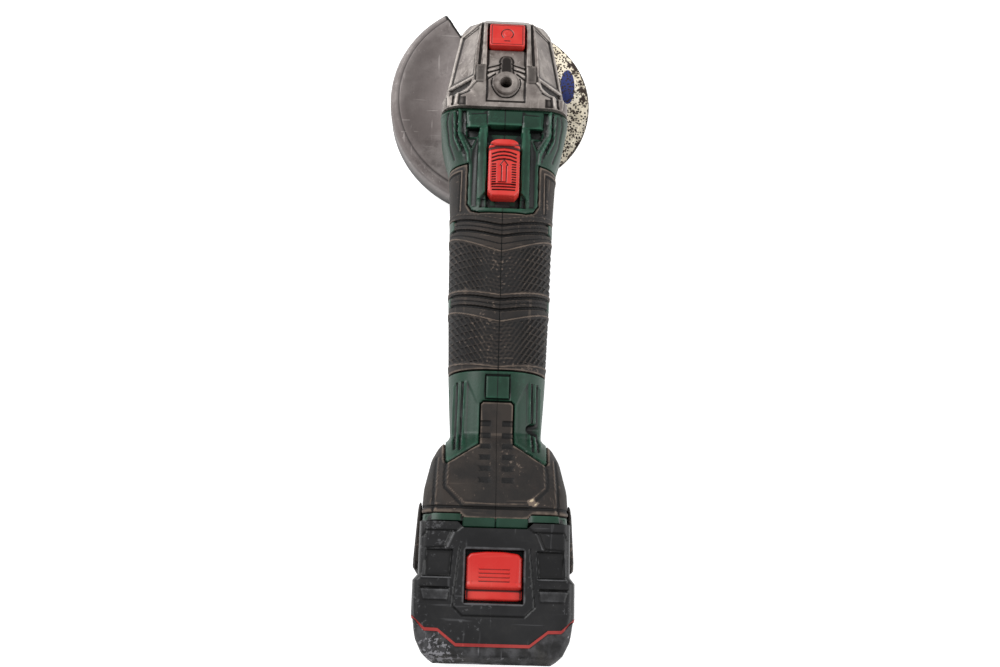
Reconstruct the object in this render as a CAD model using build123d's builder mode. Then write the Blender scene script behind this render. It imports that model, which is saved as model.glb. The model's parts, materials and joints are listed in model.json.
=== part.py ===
"""A cordless angle grinder with a slide-on battery pack, as an assembly of separate pieces.

Millimetres. +Y runs from the battery towards the gear head, +Z away from the grinding wheel, and +X to the
right of somebody who holds the tool. The origin is on the spindle's axis, in the middle of its free thread.
"""

import os
from math import atan2, cos, pi, radians, sin

from build123d import *

os.makedirs("parts", exist_ok=True)

# ---------------------------------------------------------------- driving dimensions
FLOOR_Z = -3.0  # the plane that the guard's rim and the battery's end rest on
AXIS_Z = 54.0  # height of the motor axis
RUN = 0.03  # radial clearance of a running fit
GAP = 0.3  # clearance between pieces that move past each other

# spindle and wheel
THREAD_R = 7.0
ARBOR_R = 6.0  # the spindle inside the nut, the wheel and the inner flange
SPINDLE_END_Z = -2.0
NUT_Z = (3.2, 9.0)
NUT_R = 19.0
WHEEL_R = 55.5
WHEEL_Z = (9.0, 12.0)
WHEEL_BORE_R = 11.1
FLANGE_R = 21.0
FLANGE_TOP_Z = 17.0

# guard
GUARD_R = 71.0
GUARD_WALL = 1.8
GUARD_TOP_Z = 20.0
GUARD_START_DEG = 123.0
GUARD_SWEEP_DEG = 173.0
NECK_R = 22.0
COLLAR_R = 24.4
CLAMP_R = 26.2
CLAMP_DEG = 20.0

# gear head: stations along Y, each with half width and height of the top, half width and heights of the side
COVER_BOTTOM_Z = 30.0
HEAD_BOTTOM_Z = 34.0
HEAD_STATIONS = [
    (-27.0, 18.9, 86.0, 36.2, 61.0, 37.0),
    (-19.0, 18.6, 86.0, 34.5, 61.0, 37.0),
    (-2.0, 17.6, 84.5, 30.8, 63.5, 37.0),
    (17.3, 14.8, 81.0, 26.4, 66.0, 37.0),
    (20.8, 14.2, 75.5, 24.4, 65.5, 38.0),
    (24.0, 13.2, 71.0, 21.8, 65.0, 38.5),
    (27.2, 12.0, 66.5, 17.0, 61.0, 40.0),
]
FLANGE_Y = (-36.0, -27.0)
FLANGE_HALF_X = 33.0
SPIGOT_Y = -46.0
CAVITY_R = 24.5
CAVITY_TOP_Z = 63.5
UPPER_BEARING_R = 7.6
HANDLE_HOLE_R = 3.4  # tapping size of M8
HANDLE_HOLE_DEPTH = 12.0
TOP_HOLE_Y = -22.9
TOP_HOLE_Z = 86.0
SIDE_HOLE = (35.0, -13.0, 52.0)

# spindle lock
BUTTON_HALF_X = 10.1
BUTTON_Y = (-0.8, 14.9)
BUTTON_Z = (81.0, 88.0)
LOCK_PIN_Y = 9.6
LOCK_PIN_R = 2.0
LOCK_TRAVEL = 4.0

# bevel gears, whose pitch cones meet where the two axes cross
CROWN_TEETH = 38
PINION_TEETH = 12
CROWN_PITCH_R = 22.0
GEAR_SEAT_R = 6.0
MODULE = 2 * CROWN_PITCH_R / CROWN_TEETH
PINION_CONE = atan2(PINION_TEETH, CROWN_TEETH)
CROWN_CONE = pi / 2 - PINION_CONE
CONE_OUTER = CROWN_PITCH_R / sin(CROWN_CONE)
CONE_INNER = CONE_OUTER - 6.5
ADDENDUM = 0.8 * MODULE
DEDENDUM = 1.1 * MODULE
TOOTH_HALF = 0.6  # half the thickness of a tooth on the pitch cone, thin enough to leave backlash
PINION_BORE_R = 3.6
FLANK = 0.36  # sideways run of a tooth's flank for each unit of its height

# motor, along -Y
CAN_R = 23.5
CAN_Y = (-133.0, -80.0)
MOTOR_BORE_R = 23.8
MAGNET_R = (18.3, 21.9)
CORE_R = 17.5
CORE_Y = (-130.0, -88.0)
SHAFT_R = 5.5
COMMUTATOR_R = 11.0
COMMUTATOR_Y = (-146.0, -135.5)
BRUSH_Y = -140.5
BELL_Y = (-155.5, -148.0)
FAN_R = 23.0
FAN_Y = (-74.0, -62.0)
SLOTS = 12

# handle and foot: station y, half width, lowest z, highest z and corner radius, with the rubber on
STATIONS = [
    (-29.0, 37.6, 25.0, 80.0, 13.0),
    (-36.0, 38.0, 24.5, 84.5, 14.0),
    (-45.0, 37.2, 24.0, 85.0, 16.0),
    (-54.0, 34.6, 24.0, 85.0, 18.0),
    (-67.0, 31.0, 24.5, 84.0, 20.0),
    (-98.0, 29.6, 24.8, 83.0, 24.0),
    (-145.0, 28.6, 25.4, 83.0, 25.0),
    (-190.0, 26.9, 27.0, 82.0, 22.0),
    (-226.0, 24.6, 28.0, 82.0, 18.0),
    (-232.0, 30.0, 21.0, 87.5, 15.0),
    (-240.0, 33.6, 14.0, 93.0, 14.0),
    (-257.0, 36.6, 1.0, 104.0, 12.0),
    (-274.0, 37.2, -1.0, 109.0, 10.0),
]
RUBBER = 1.8
GRIP_Y = (-190.7, -101.0)
GRIP_SIDE_X = 20.0
GRIP_FRONT_Y = -72.0
FOOT_COVER_Y = (-270.0, -243.0)
SPINE_FRONT_Y = -207.5
SPINE_X = 9.2

# slide switch
KNOB_HALF_X = 8.7
KNOB_Y = (-95.0, -59.6)
KNOB_TOP_Z = 90.5
TRACK_FLOOR_Z = 80.0
TRACK_X = 9.4
TRACK_Y = (-98.0, -50.0)
ROD_Z = (78.0, 79.5)
SWITCH_SPRING_Z = 71.0

# battery pack and the rail that it slides on
PACK_OUTLINE = [(37.4, -274.4), (37.4, -300.0), (39.9, -303.0), (39.9, -319.0), (36.5, -334.0), (29.0, -342.0)]
PACK_TOP_Z = 112.0
RAIL_NECK = (16.5, -281.0)
RAIL_FLANGE = (20.5, -285.0)
RAIL_Z = (6.0, 98.0)
TONGUE_Y = -277.0
TONGUE_Z = 109.0
SEAM = [(45.0, -316.5), (39.2, -320.0), (33.0, -325.4), (26.6, -325.6), (17.7, -332.4)]
TRIM = 1.5
CELL_R = 9.2
CELL_LENGTH = 65.0
CELL_Y = (-303.0, -322.4)
CELL_Z = [9.4 + 18.9 * k for k in range(5)]
LATCH_HALF_X = 13.9
LATCH_Y = (-312.2, -288.6)
LATCH_Z = (97.6, 111.4)
LATCH_TRAVEL = 2.2
BLADE_X = [5.0 * k for k in range(-2, 3)]
BLADE_Z = (16.0, 40.0)

# fasteners, each a place and the way it points
SCREW_R = 1.6
SCREW_HEAD_R = 3.2
HOUSING_SCREWS = [(-168, 62, 18.3), (-168, 38, 18.3), (-221.7, 74, 16), (-221.7, 36, 16)]
HOUSING_SCREWS += [(-251, 86, 26), (-251, 20, 26)]  # place along Y and Z, and half the post's length
HEAD_SCREWS = [(-28, 73), (28, 73), (-28, 35), (28, 35)]
COVER_SCREWS = [(-23.5, -22.5), (23.5, -22.5), (-19.5, 20.5), (19.5, 20.5)]
PACK_SCREWS = [(-34.6, 8), (34.6, 8), (-26, 103), (26, 103)]

MOTOR_PLANE = Plane(origin=(0, 0, AXIS_Z), x_dir=(1, 0, 0), z_dir=(0, -1, 0))  # local z runs along -Y


def save(piece, label):
    """Names a finished piece and writes it as its own STEP file."""
    piece.part.label = label
    export_step(piece.part, f"parts/{label}.step")


def block(low, high, mode=Mode.ADD):
    """Adds or takes away a box, given by its lowest and its highest corner."""
    with Locations([tuple((a + b) / 2 for a, b in zip(low, high))]):
        Box(*[b - a for a, b in zip(low, high)], mode=mode)


def post(x, y, z_low, z_high, radius, mode=Mode.ADD):
    """Adds or takes away a cylinder that stands along Z."""
    with Locations((x, y, (z_low + z_high) / 2)):
        Cylinder(radius, z_high - z_low, mode=mode)


def bar(axis_point, y_low, y_high, radius, mode=Mode.ADD):
    """Adds or takes away a cylinder that lies along Y, through the point (x, z)."""
    x, z = axis_point
    with Locations(Location((x, (y_low + y_high) / 2, z), (90, 0, 0))):
        Cylinder(radius, y_high - y_low, mode=mode)


def ring(z_low, z_high, inner, outer):
    """A plain ring about the spindle's axis."""
    with BuildPart() as made:
        with BuildSketch(Plane.XY.offset(z_low)):
            Circle(outer)
            Circle(inner, mode=Mode.SUBTRACT)
        extrude(amount=z_high - z_low)
    return made


def motor_ring(y_low, y_high, inner, outer):
    """A plain ring about the motor's axis."""
    with BuildPart() as made:
        with BuildSketch(MOTOR_PLANE.offset(-y_high)):
            Circle(outer)
            Circle(inner, mode=Mode.SUBTRACT)
        extrude(amount=y_high - y_low)
    return made


def ball_bearing(plane, width, bore, outer, balls):
    """A ball bearing from plane along its normal: two races and the balls between them, as loose solids."""
    race = 0.36 * (outer - bore)
    with BuildPart() as made:
        with BuildSketch(plane):
            Circle(outer)
            Circle(outer - race, mode=Mode.SUBTRACT)
            Circle(bore + race)
            Circle(bore, mode=Mode.SUBTRACT)
        extrude(amount=width)
        with Locations(plane.offset(width / 2)):
            with PolarLocations((outer + bore) / 2, balls):
                Sphere((outer - bore) / 2 - race - 0.05)
    return made


def coil(start, direction, radius, wire, length, turns):
    """A compression spring of round wire that runs from start along direction."""
    with BuildPart() as upright:
        with BuildLine() as line:
            Helix(pitch=(length - wire) / turns, height=length - wire, radius=radius)
        with BuildSketch(Plane(origin=line.line @ 0, z_dir=line.line % 0)):
            Circle(wire / 2)
        sweep(is_frenet=True)
    with BuildPart() as placed:
        with Locations(Plane(origin=start, z_dir=direction).offset(wire / 2).location):
            add(upright.part)
    return placed


def head_outline(y, inset=0.0):
    """Half the width of the gear head's lower side at y, between its stations."""
    for (y0, *first), (y1, *second) in zip(HEAD_STATIONS, HEAD_STATIONS[1:]):
        if y0 <= y <= y1:
            return first[2] + (second[2] - first[2]) * (y - y0) / (y1 - y0) - inset
    return 0.0


# ---------------------------------------------------------------- envelope of the handle and foot
def envelope(inset):
    """The handle and foot as one closed solid, taken in by inset on every side."""
    with BuildPart() as body:
        for y, half_x, low, high, corner in STATIONS:
            with BuildSketch(Plane.XZ.offset(-y)):
                with Locations((0, (low + high) / 2)):
                    RectangleRounded(2 * (half_x - inset), high - low - 2 * inset, corner - inset)
        loft(ruled=True)
    return body.part


FULL = envelope(0)

with BuildPart() as rubber_skin:
    add(FULL)
    add(envelope(RUBBER), mode=Mode.SUBTRACT)

with BuildPart() as grip_zone:
    block((-60, GRIP_Y[0], 0), (60, GRIP_Y[1], 120))
    for side in (-1, 1):
        with Locations((side * (GRIP_SIDE_X + 20), (GRIP_Y[1] + GRIP_FRONT_Y) / 2, 60)):
            Box(40, GRIP_FRONT_Y - GRIP_Y[1] + 0.02, 120)

with BuildPart() as foot_zone:
    block((-60, FOOT_COVER_Y[0], -20), (60, FOOT_COVER_Y[1], 130))
    block((-SPINE_X, FOOT_COVER_Y[1] - 1, AXIS_Z), (SPINE_X, SPINE_FRONT_Y, 130))

with BuildPart() as grip:
    add(rubber_skin.part)
    add(grip_zone.part, mode=Mode.INTERSECT)

with BuildPart() as foot_cover:
    add(rubber_skin.part)
    add(foot_zone.part, mode=Mode.INTERSECT)

for skin, name in ((grip, "grip"), (foot_cover, "foot_cover")):
    for side, keep in (("left", Keep.BOTTOM), ("right", Keep.TOP)):
        with BuildPart() as cover:
            add(skin.part)
            split(bisect_by=Plane.YZ, keep=keep)
        save(cover, f"{name}_{side}")

# ---------------------------------------------------------------- housing halves
CUT = Mode.SUBTRACT
with BuildPart() as housing:
    add(FULL)
    block((-RAIL_NECK[0], RAIL_NECK[1], RAIL_Z[0]), (RAIL_NECK[0], -273, RAIL_Z[1]))
    block((-RAIL_FLANGE[0], RAIL_FLANGE[1], RAIL_Z[0]), (RAIL_FLANGE[0], RAIL_NECK[1], RAIL_Z[1]))
    block((-RAIL_NECK[0], TONGUE_Y, RAIL_Z[1]), (RAIL_NECK[0], -273, TONGUE_Z))
    add(grip.part, mode=CUT)
    add(foot_cover.part, mode=CUT)
    # room for the gear head, the motor, the switch and the electronics
    block((-FLANGE_HALF_X - GAP, FLANGE_Y[0] - 0.2, 20), (FLANGE_HALF_X + GAP, -20, 100), CUT)
    bar((0, AXIS_Z), -60, -30, 26, CUT)
    bar((0, AXIS_Z), -157, -55, MOTOR_BORE_R, CUT)
    block((-18, -237, 36), (18, -155, 73), CUT)
    block((-24, -252, 24), (24, -235, 82), CUT)
    block((-31, -267, 9), (31, -250, 96), CUT)
    # track of the slide switch, the slot in its floor, and the way of its rod over the motor
    block((-TRACK_X, TRACK_Y[0], TRACK_FLOOR_Z), (TRACK_X, TRACK_Y[1], 100), CUT)
    block((-4.6, -97, 70), (4.6, -52, TRACK_FLOOR_Z + 1), CUT)
    block((-4.6, -190, 66), (4.6, -80, ROD_Z[1] + GAP), CUT)
    # terminal block in the rail, and the groove for the latch's hook
    block((-13.2, -290, BLADE_Z[0] - 4.2), (13.2, -266, BLADE_Z[1] + 4.2), CUT)
    block((-8.6, -290, 93.5), (8.6, -282.6, 100), CUT)
    for side in (-1, 1):
        # air outlets beside the switch and air inlets along the rear sides
        block((side * 17.5 - 3.5, -56, 70), (side * 17.5 + 3.5, -51, 92), CUT)
        for k in range(5):
            block((side * 25 - 7, -223, 43 + 5 * k), (side * 25 + 7, -199, 45.2 + 5 * k), CUT)
    for y, z, post_half in HOUSING_SCREWS:
        with Locations(Location((0, y, z), (0, 90, 0))):
            Cylinder(4.2, 2 * post_half)
            Cylinder(SCREW_R + RUN, 29, mode=CUT)
        with Locations(Location((44.3, y, z), (0, 90, 0))):
            Cylinder(SCREW_HEAD_R + 0.2, 60, mode=CUT)
    for x, z in HEAD_SCREWS:
        bar((x, z), -54, -30, 2 + RUN, CUT)

for side, keep in (("left", Keep.BOTTOM), ("right", Keep.TOP)):
    with BuildPart() as half:
        add(housing.part)
        split(bisect_by=Plane.YZ, keep=keep)
    save(half, f"housing_{side}")

with BuildPart() as housing_screws:
    for y, z, _ in HOUSING_SCREWS:
        with Locations(Location((0, y, z), (0, 90, 0))):
            Cylinder(SCREW_R, 28)
        with Locations(Location((15.5, y, z), (0, 90, 0))):
            Cylinder(SCREW_HEAD_R, 2.4)
save(housing_screws, "housing_screws")

with BuildPart() as bumpers:
    for side in (-1, 1):
        block((side * 39.4 - 1.8, -298, 26), (side * 39.4 + 1.8, -262, 96))
    fillet(bumpers.edges().filter_by(Axis.X), 4)
for side, keep in (("left", Keep.BOTTOM), ("right", Keep.TOP)):
    with BuildPart() as bumper:
        add(bumpers.part)
        split(bisect_by=Plane.YZ, keep=keep)
    save(bumper, f"bumper_{side}")

# ---------------------------------------------------------------- gear head
with BuildPart() as gear_housing:
    for y, top_x, top_z, side_x, high_z, low_z in HEAD_STATIONS:
        corners = [(side_x - 2, HEAD_BOTTOM_Z), (side_x, low_z), (side_x, high_z), (top_x, top_z)]
        with BuildSketch(Plane.XZ.offset(-y)):
            Polygon(*corners, *[(-x, z) for x, z in reversed(corners)], align=None)
    loft(ruled=True)
    with BuildSketch(Plane.XZ.offset(-FLANGE_Y[1])):
        with Locations((0, 55.5)):
            RectangleRounded(2 * FLANGE_HALF_X, 57, 12)
    extrude(amount=FLANGE_Y[1] - FLANGE_Y[0])
    bar((0, AXIS_Z), SPIGOT_Y, FLANGE_Y[0] + 1, 24.5)
    x, y, z = SIDE_HOLE
    with Locations(Location((0, y, z), (0, 90, 0))):
        Cylinder(8, 2 * x)
    post(0, 0, HEAD_BOTTOM_Z - 1, CAVITY_TOP_Z, CAVITY_R, mode=Mode.SUBTRACT)
    bar((0, AXIS_Z), -39, -15, 9.2, mode=Mode.SUBTRACT)
    bar((0, AXIS_Z), SPIGOT_Y - 1, -38, 13, mode=Mode.SUBTRACT)
    post(0, 0, CAVITY_TOP_Z - 1, 72.5, UPPER_BEARING_R, mode=Mode.SUBTRACT)
    post(0, TOP_HOLE_Y, TOP_HOLE_Z - HANDLE_HOLE_DEPTH, TOP_HOLE_Z, HANDLE_HOLE_R, mode=Mode.SUBTRACT)
    for side in (-1, 1):
        with Locations(Location((side * (x - HANDLE_HOLE_DEPTH / 2), y, z), (0, 90, 0))):
            Cylinder(HANDLE_HOLE_R, HANDLE_HOLE_DEPTH, mode=Mode.SUBTRACT)
    # pocket of the lock button, seat of its spring and guide of its pin
    edge = BUTTON_HALF_X + GAP
    floor = BUTTON_Z[0] - LOCK_TRAVEL - GAP
    block((-edge, BUTTON_Y[0] - GAP, floor), (edge, BUTTON_Y[1] + GAP, 95), mode=Mode.SUBTRACT)
    post(0, LOCK_PIN_Y, 73, 80, 3.9, mode=Mode.SUBTRACT)
    post(0, LOCK_PIN_Y, 60, 80, LOCK_PIN_R + RUN, mode=Mode.SUBTRACT)
    for x, y in COVER_SCREWS:
        post(x, y, HEAD_BOTTOM_Z - 1, 44, 1.8 + RUN, mode=Mode.SUBTRACT)
    for x, z in HEAD_SCREWS:
        bar((x, z), -40, -26, 2 + RUN, mode=Mode.SUBTRACT)
        bar((x, z), -31, -20, 3.8, mode=Mode.SUBTRACT)
save(gear_housing, "gear_housing")

with BuildPart() as bearing_cover:
    edge_points = [(head_outline(station[0], 2), station[0]) for station in HEAD_STATIONS]
    with BuildSketch(Plane.XY.offset(COVER_BOTTOM_Z)):
        Polygon(*edge_points, *[(-x, y) for x, y in reversed(edge_points)], align=None)
    extrude(amount=HEAD_BOTTOM_Z - COVER_BOTTOM_Z)
    post(0, 0, GUARD_TOP_Z, COVER_BOTTOM_Z, NECK_R)
    post(0, 0, HEAD_BOTTOM_Z, 37, CAVITY_R - RUN)
    post(0, 0, GUARD_TOP_Z, 24, 9, mode=Mode.SUBTRACT)
    post(0, 0, 24, 38, 17.5, mode=Mode.SUBTRACT)
    post(0, 0, 35, 38, 20, mode=Mode.SUBTRACT)
    for x, y in COVER_SCREWS:
        post(x, y, COVER_BOTTOM_Z, HEAD_BOTTOM_Z, 1.8 + RUN, mode=Mode.SUBTRACT)
        post(x, y, COVER_BOTTOM_Z, COVER_BOTTOM_Z + 2.6, 3.4, mode=Mode.SUBTRACT)
save(bearing_cover, "bearing_cover")

with BuildPart() as cover_screws:
    for x, y in COVER_SCREWS:
        post(x, y, COVER_BOTTOM_Z + 2.6, 43.5, 1.8)
        post(x, y, COVER_BOTTOM_Z + 0.4, COVER_BOTTOM_Z + 2.6, 3.2)
save(cover_screws, "cover_screws")

with BuildPart() as head_screws:
    for x, z in HEAD_SCREWS:
        bar((x, z), -53, -31, 2)
        bar((x, z), -31, -28.2, 3.6)
save(head_screws, "head_screws")

save(ring(35, 37, 12, 20), "bearing_retainer")
save(ball_bearing(Plane.XY.offset(24), 11, 7.5, 17.5, 9), "spindle_bearing")
save(ball_bearing(Plane.XY.offset(CAVITY_TOP_Z), 9, 4, UPPER_BEARING_R, 10), "upper_bearing")
save(ball_bearing(MOTOR_PLANE.offset(38), 8, 5, 13, 8), "front_motor_bearing")

# ---------------------------------------------------------------- spindle and what turns with it
SPINDLE_STEPS = [(3, THREAD_R), (FLANGE_TOP_Z, ARBOR_R - RUN), (35.2, 7.5 - RUN), (38, 9.5)]
SPINDLE_STEPS += [(46, GEAR_SEAT_R), (61, 5.0), (72.2, 4 - RUN)]
with BuildPart() as spindle:
    low = SPINDLE_END_Z
    for high, radius in SPINDLE_STEPS:
        post(0, 0, low, high, radius)
        low = high
    with Locations((0, 0, SPINDLE_END_Z)):
        Cylinder(2.9, 10, align=(Align.CENTER, Align.CENTER, Align.MIN), mode=Mode.SUBTRACT)
save(spindle, "spindle")

with BuildPart() as clamp_nut:
    with BuildSketch(Plane.XY.offset(NUT_Z[0])):
        Circle(NUT_R)
        Circle(ARBOR_R, mode=Mode.SUBTRACT)
        with PolarLocations(14, 4):
            Circle(2.5, mode=Mode.SUBTRACT)
    extrude(amount=4)
    with BuildSketch(Plane.XY.offset(NUT_Z[0] + 4)):
        Circle(NUT_R)
        Circle(ARBOR_R, mode=Mode.SUBTRACT)
    extrude(amount=NUT_Z[1] - NUT_Z[0] - 4)
save(clamp_nut, "clamp_nut")

with BuildPart() as inner_flange:
    post(0, 0, WHEEL_Z[1], FLANGE_TOP_Z, FLANGE_R)
    chamfer(inner_flange.edges().sort_by(Axis.Z)[-1], 1.2)
    post(0, 0, NUT_Z[1] + 0.4, WHEEL_Z[1], WHEEL_BORE_R - RUN)
    post(0, 0, NUT_Z[1], FLANGE_TOP_Z, ARBOR_R, mode=Mode.SUBTRACT)
save(inner_flange, "inner_flange")

save(ring(WHEEL_Z[0], WHEEL_Z[1], WHEEL_BORE_R, WHEEL_R), "cutting_disc")


def bevel_tooth(cone):
    """One tooth of a bevel gear whose apex is at the origin and whose axis runs along +Z."""
    along = Vector(sin(cone), 0, cos(cone))
    with BuildPart() as tooth:
        for distance in (CONE_INNER, CONE_OUTER):
            k = distance / CONE_OUTER
            tip, root = (TOOTH_HALF - ADDENDUM * FLANK) * k, (TOOTH_HALF + DEDENDUM * FLANK) * k
            low, high = -(DEDENDUM + 0.3) * k, ADDENDUM * k
            with BuildSketch(Plane(origin=along * distance, x_dir=(0, -1, 0), z_dir=along)):
                Polygon((-root, low), (root, low), (tip, high), (-tip, high), align=None)
        loft(ruled=True)
    return tooth.part


def root_corner(cone, distance):
    """Radius and height of the root cone at a distance from the apex."""
    drop = DEDENDUM * distance / CONE_OUTER
    return distance * sin(cone) - drop * cos(cone), distance * cos(cone) + drop * sin(cone)


def bevel_gear(cone, teeth, first_deg, blank):
    """A bevel gear with its apex at the origin; blank is the rest of its half profile, from rim to bore."""
    tooth = bevel_tooth(cone)
    with BuildPart() as gear:
        with BuildSketch(Plane.XZ):
            Polygon(root_corner(cone, CONE_INNER), root_corner(cone, CONE_OUTER), *blank, align=None)
        revolve(axis=Axis.Z)
        with PolarLocations(0, teeth, start_angle=first_deg):
            add(tooth)
    return gear.part


crown_profile = [(22.6, 8.6), (22.6, 12), (14, 15.8), (GEAR_SEAT_R, 15.8), (GEAR_SEAT_R, 8), (14.4, 8)]
crown_blank = bevel_gear(CROWN_CONE, CROWN_TEETH, 90, crown_profile)
with BuildPart() as crown_gear:
    with Locations(Location((0, 0, AXIS_Z), (180, 0, 0))):
        add(crown_blank)
    with PolarLocations(LOCK_PIN_Y, 4):
        Cylinder(LOCK_PIN_R + 0.4, 200, mode=Mode.SUBTRACT)
save(crown_gear, "crown_gear")

pinion_blank = bevel_gear(
    PINION_CONE, PINION_TEETH, 90 + 180 / PINION_TEETH, [(5.6, 24.5), (PINION_BORE_R, 24.5), (PINION_BORE_R, 15.6)]
)
with BuildPart() as pinion:
    with Locations(MOTOR_PLANE.location):
        add(pinion_blank)
save(pinion, "pinion")

# ---------------------------------------------------------------- motor
with BuildPart() as motor_shaft:
    start = 15.6
    for end, radius in ((26, PINION_BORE_R), (46.2, 5 - RUN), (149.4, SHAFT_R), (156, 4 - RUN)):
        bar((0, AXIS_Z), -end, -start, radius)
        start = end
save(motor_shaft, "motor_shaft")

with BuildPart() as armature_core:
    add(motor_ring(CORE_Y[0], CORE_Y[1], SHAFT_R, CORE_R).part)
    with Locations(MOTOR_PLANE.offset(-sum(CORE_Y) / 2)):
        with PolarLocations(14.6, SLOTS):
            Box(6.4, 3.0, 60, mode=Mode.SUBTRACT)
save(armature_core, "armature_core")

with BuildPart() as armature_windings:
    add(motor_ring(CORE_Y[0] - 4, CORE_Y[0], 7.5, 16.0).part)
    add(motor_ring(CORE_Y[1], CORE_Y[1] + 4, 7.5, 16.0).part)
    with Locations(MOTOR_PLANE.offset(-sum(CORE_Y) / 2)):
        with PolarLocations(14.2, SLOTS):
            Box(4.0, 2.6, CORE_Y[1] - CORE_Y[0] + 2)
save(armature_windings, "armature_windings")

with BuildPart() as commutator:
    add(motor_ring(COMMUTATOR_Y[0], COMMUTATOR_Y[1], SHAFT_R, COMMUTATOR_R).part)
    with Locations(MOTOR_PLANE.offset(-sum(COMMUTATOR_Y) / 2)):
        with PolarLocations(COMMUTATOR_R, 2 * SLOTS):
            Box(2.0, 0.5, 30, mode=Mode.SUBTRACT)
save(commutator, "commutator")

with BuildPart() as fan:
    add(motor_ring(FAN_Y[0], FAN_Y[0] + 1.6, SHAFT_R, FAN_R).part)
    add(motor_ring(FAN_Y[0], FAN_Y[1], SHAFT_R, 8.5).part)
    with Locations(MOTOR_PLANE.offset(-FAN_Y[1] - 1)):
        with PolarLocations(15.4, SLOTS):
            with Locations((0, 0, 5.5)):
                Box(14.6, 1.2, 11, rotation=(0, 0, 22))
save(fan, "fan")

save(motor_ring(CAN_Y[0], CAN_Y[1], CAN_R - 1.5, CAN_R), "motor_can")
save(motor_ring(-79, -77, 14, CAN_R), "air_baffle")

with BuildPart() as motor_magnets:
    add(motor_ring(CORE_Y[0], CORE_Y[1], MAGNET_R[0], MAGNET_R[1]).part)
    with Locations(MOTOR_PLANE.offset(-sum(CORE_Y) / 2)):
        with PolarLocations(MAGNET_R[1], 4, start_angle=45):
            Box(14, 9, 60, mode=Mode.SUBTRACT)
save(motor_magnets, "motor_magnets")

with BuildPart() as motor_end_bell:
    add(motor_ring(BELL_Y[0], BELL_Y[1], 6.5, CAN_R).part)
    bar((0, AXIS_Z), BELL_Y[0] - 1, BELL_Y[0] + 6, 9.5, mode=Mode.SUBTRACT)
    for x, z in ((-13, 13), (13, 13), (-13, -13), (13, -13)):
        bar((x, AXIS_Z + z), BELL_Y[0] - 1, BELL_Y[1] + 1, 3.2, mode=Mode.SUBTRACT)
save(motor_end_bell, "motor_end_bell")

with BuildPart() as brush_holders:
    for side in (-1, 1):
        block((side * 17 - 4.5, BELL_Y[1], AXIS_Z - 5), (side * 17 + 4.5, -136, AXIS_Z + 5))
        block((side * 17 - 6, BRUSH_Y - 3.1, AXIS_Z - 2.6), (side * 17 + 6, BRUSH_Y + 3.1, AXIS_Z + 2.6),
              mode=Mode.SUBTRACT)
save(brush_holders, "brush_holders")

with BuildPart() as carbon_brushes:
    for side in (-1, 1):
        block((side * 15.9 - 4.5, BRUSH_Y - 3, AXIS_Z - 2.5), (side * 15.9 + 4.5, BRUSH_Y + 3, AXIS_Z + 2.5))
save(carbon_brushes, "carbon_brushes")

save(ball_bearing(MOTOR_PLANE.offset(-BELL_Y[0] - 6), 6, 4, 9.5, 7), "rear_motor_bearing")

# ---------------------------------------------------------------- guard
START = radians(GUARD_START_DEG)
with BuildPart() as guard_shell:
    inner_r = GUARD_R - GUARD_WALL
    collar_bore = NECK_R + GAP
    with BuildSketch(Plane(origin=(0, 0, 0), x_dir=(cos(START), sin(START), 0), z_dir=(sin(START), -cos(START), 0))):
        Polygon(
            (collar_bore, GUARD_TOP_Z),
            (collar_bore, GUARD_TOP_Z - GUARD_WALL),
            (inner_r - 1.6, GUARD_TOP_Z - GUARD_WALL),
            (inner_r, GUARD_TOP_Z - GUARD_WALL - 1.6),
            (inner_r, FLOOR_Z),
            (GUARD_R, FLOOR_Z),
            (GUARD_R, GUARD_TOP_Z - 2.6),
            (GUARD_R - 0.8, GUARD_TOP_Z - 0.8),
            (GUARD_R - 2.6, GUARD_TOP_Z),
            align=None,
        )
    revolve(axis=Axis.Z, revolution_arc=GUARD_SWEEP_DEG)
    post(0, 0, GUARD_TOP_Z - GUARD_WALL, GUARD_TOP_Z, 32)
    post(0, 0, GUARD_TOP_Z, 29.2, COLLAR_R)
    post(0, 0, 0, 40, collar_bore, mode=Mode.SUBTRACT)
    with PolarLocations(23, 1, start_angle=CLAMP_DEG):
        with Locations((0, 0, 25)):
            Box(6, 2.4, 10 - 0.4, mode=Mode.SUBTRACT)
save(guard_shell, "guard_shell")

with BuildPart() as guard_clamp:
    post(0, 0, 20.6, 28.4, CLAMP_R)
    with PolarLocations(31, 1, start_angle=CLAMP_DEG):
        with Locations((0, 0, 24.5)):
            Box(12, 8, 7.8)
            Box(13, 2.4, 8, mode=Mode.SUBTRACT)
    with PolarLocations(32.5, 1, start_angle=CLAMP_DEG):
        with Locations(Location((0, 0, 24.5), (90, 0, 0))):
            Cylinder(1.8 + RUN, 20, mode=Mode.SUBTRACT)
    post(0, 0, 20, 29, COLLAR_R, mode=Mode.SUBTRACT)
    with PolarLocations(25, 1, start_angle=CLAMP_DEG):
        with Locations((0, 0, 24.5)):
            Box(6, 2.4, 10, mode=Mode.SUBTRACT)
save(guard_clamp, "guard_clamp")

with BuildPart() as guard_clamp_screw:
    with PolarLocations(32.5, 1, start_angle=CLAMP_DEG):
        with Locations(Location((0, 0, 24.5), (90, 0, 0))):
            Cylinder(1.8, 12)
        with Locations(Location((0, 5.4, 24.5), (90, 0, 0))):
            Cylinder(3.2, 2.6)
        with Locations(Location((0, -5.4, 24.5), (90, 0, 0))):
            Cylinder(3.2, 2.6)
save(guard_clamp_screw, "guard_clamp_screw")

# ---------------------------------------------------------------- spindle lock
with BuildPart() as lock_button:
    block((-BUTTON_HALF_X, BUTTON_Y[0], BUTTON_Z[0]), (BUTTON_HALF_X, BUTTON_Y[1], BUTTON_Z[1]))
    fillet(lock_button.edges().filter_by(Axis.Z), 3)
    fillet(lock_button.faces().sort_by(Axis.Z)[-1].edges(), 1)
save(lock_button, "lock_button")

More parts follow.
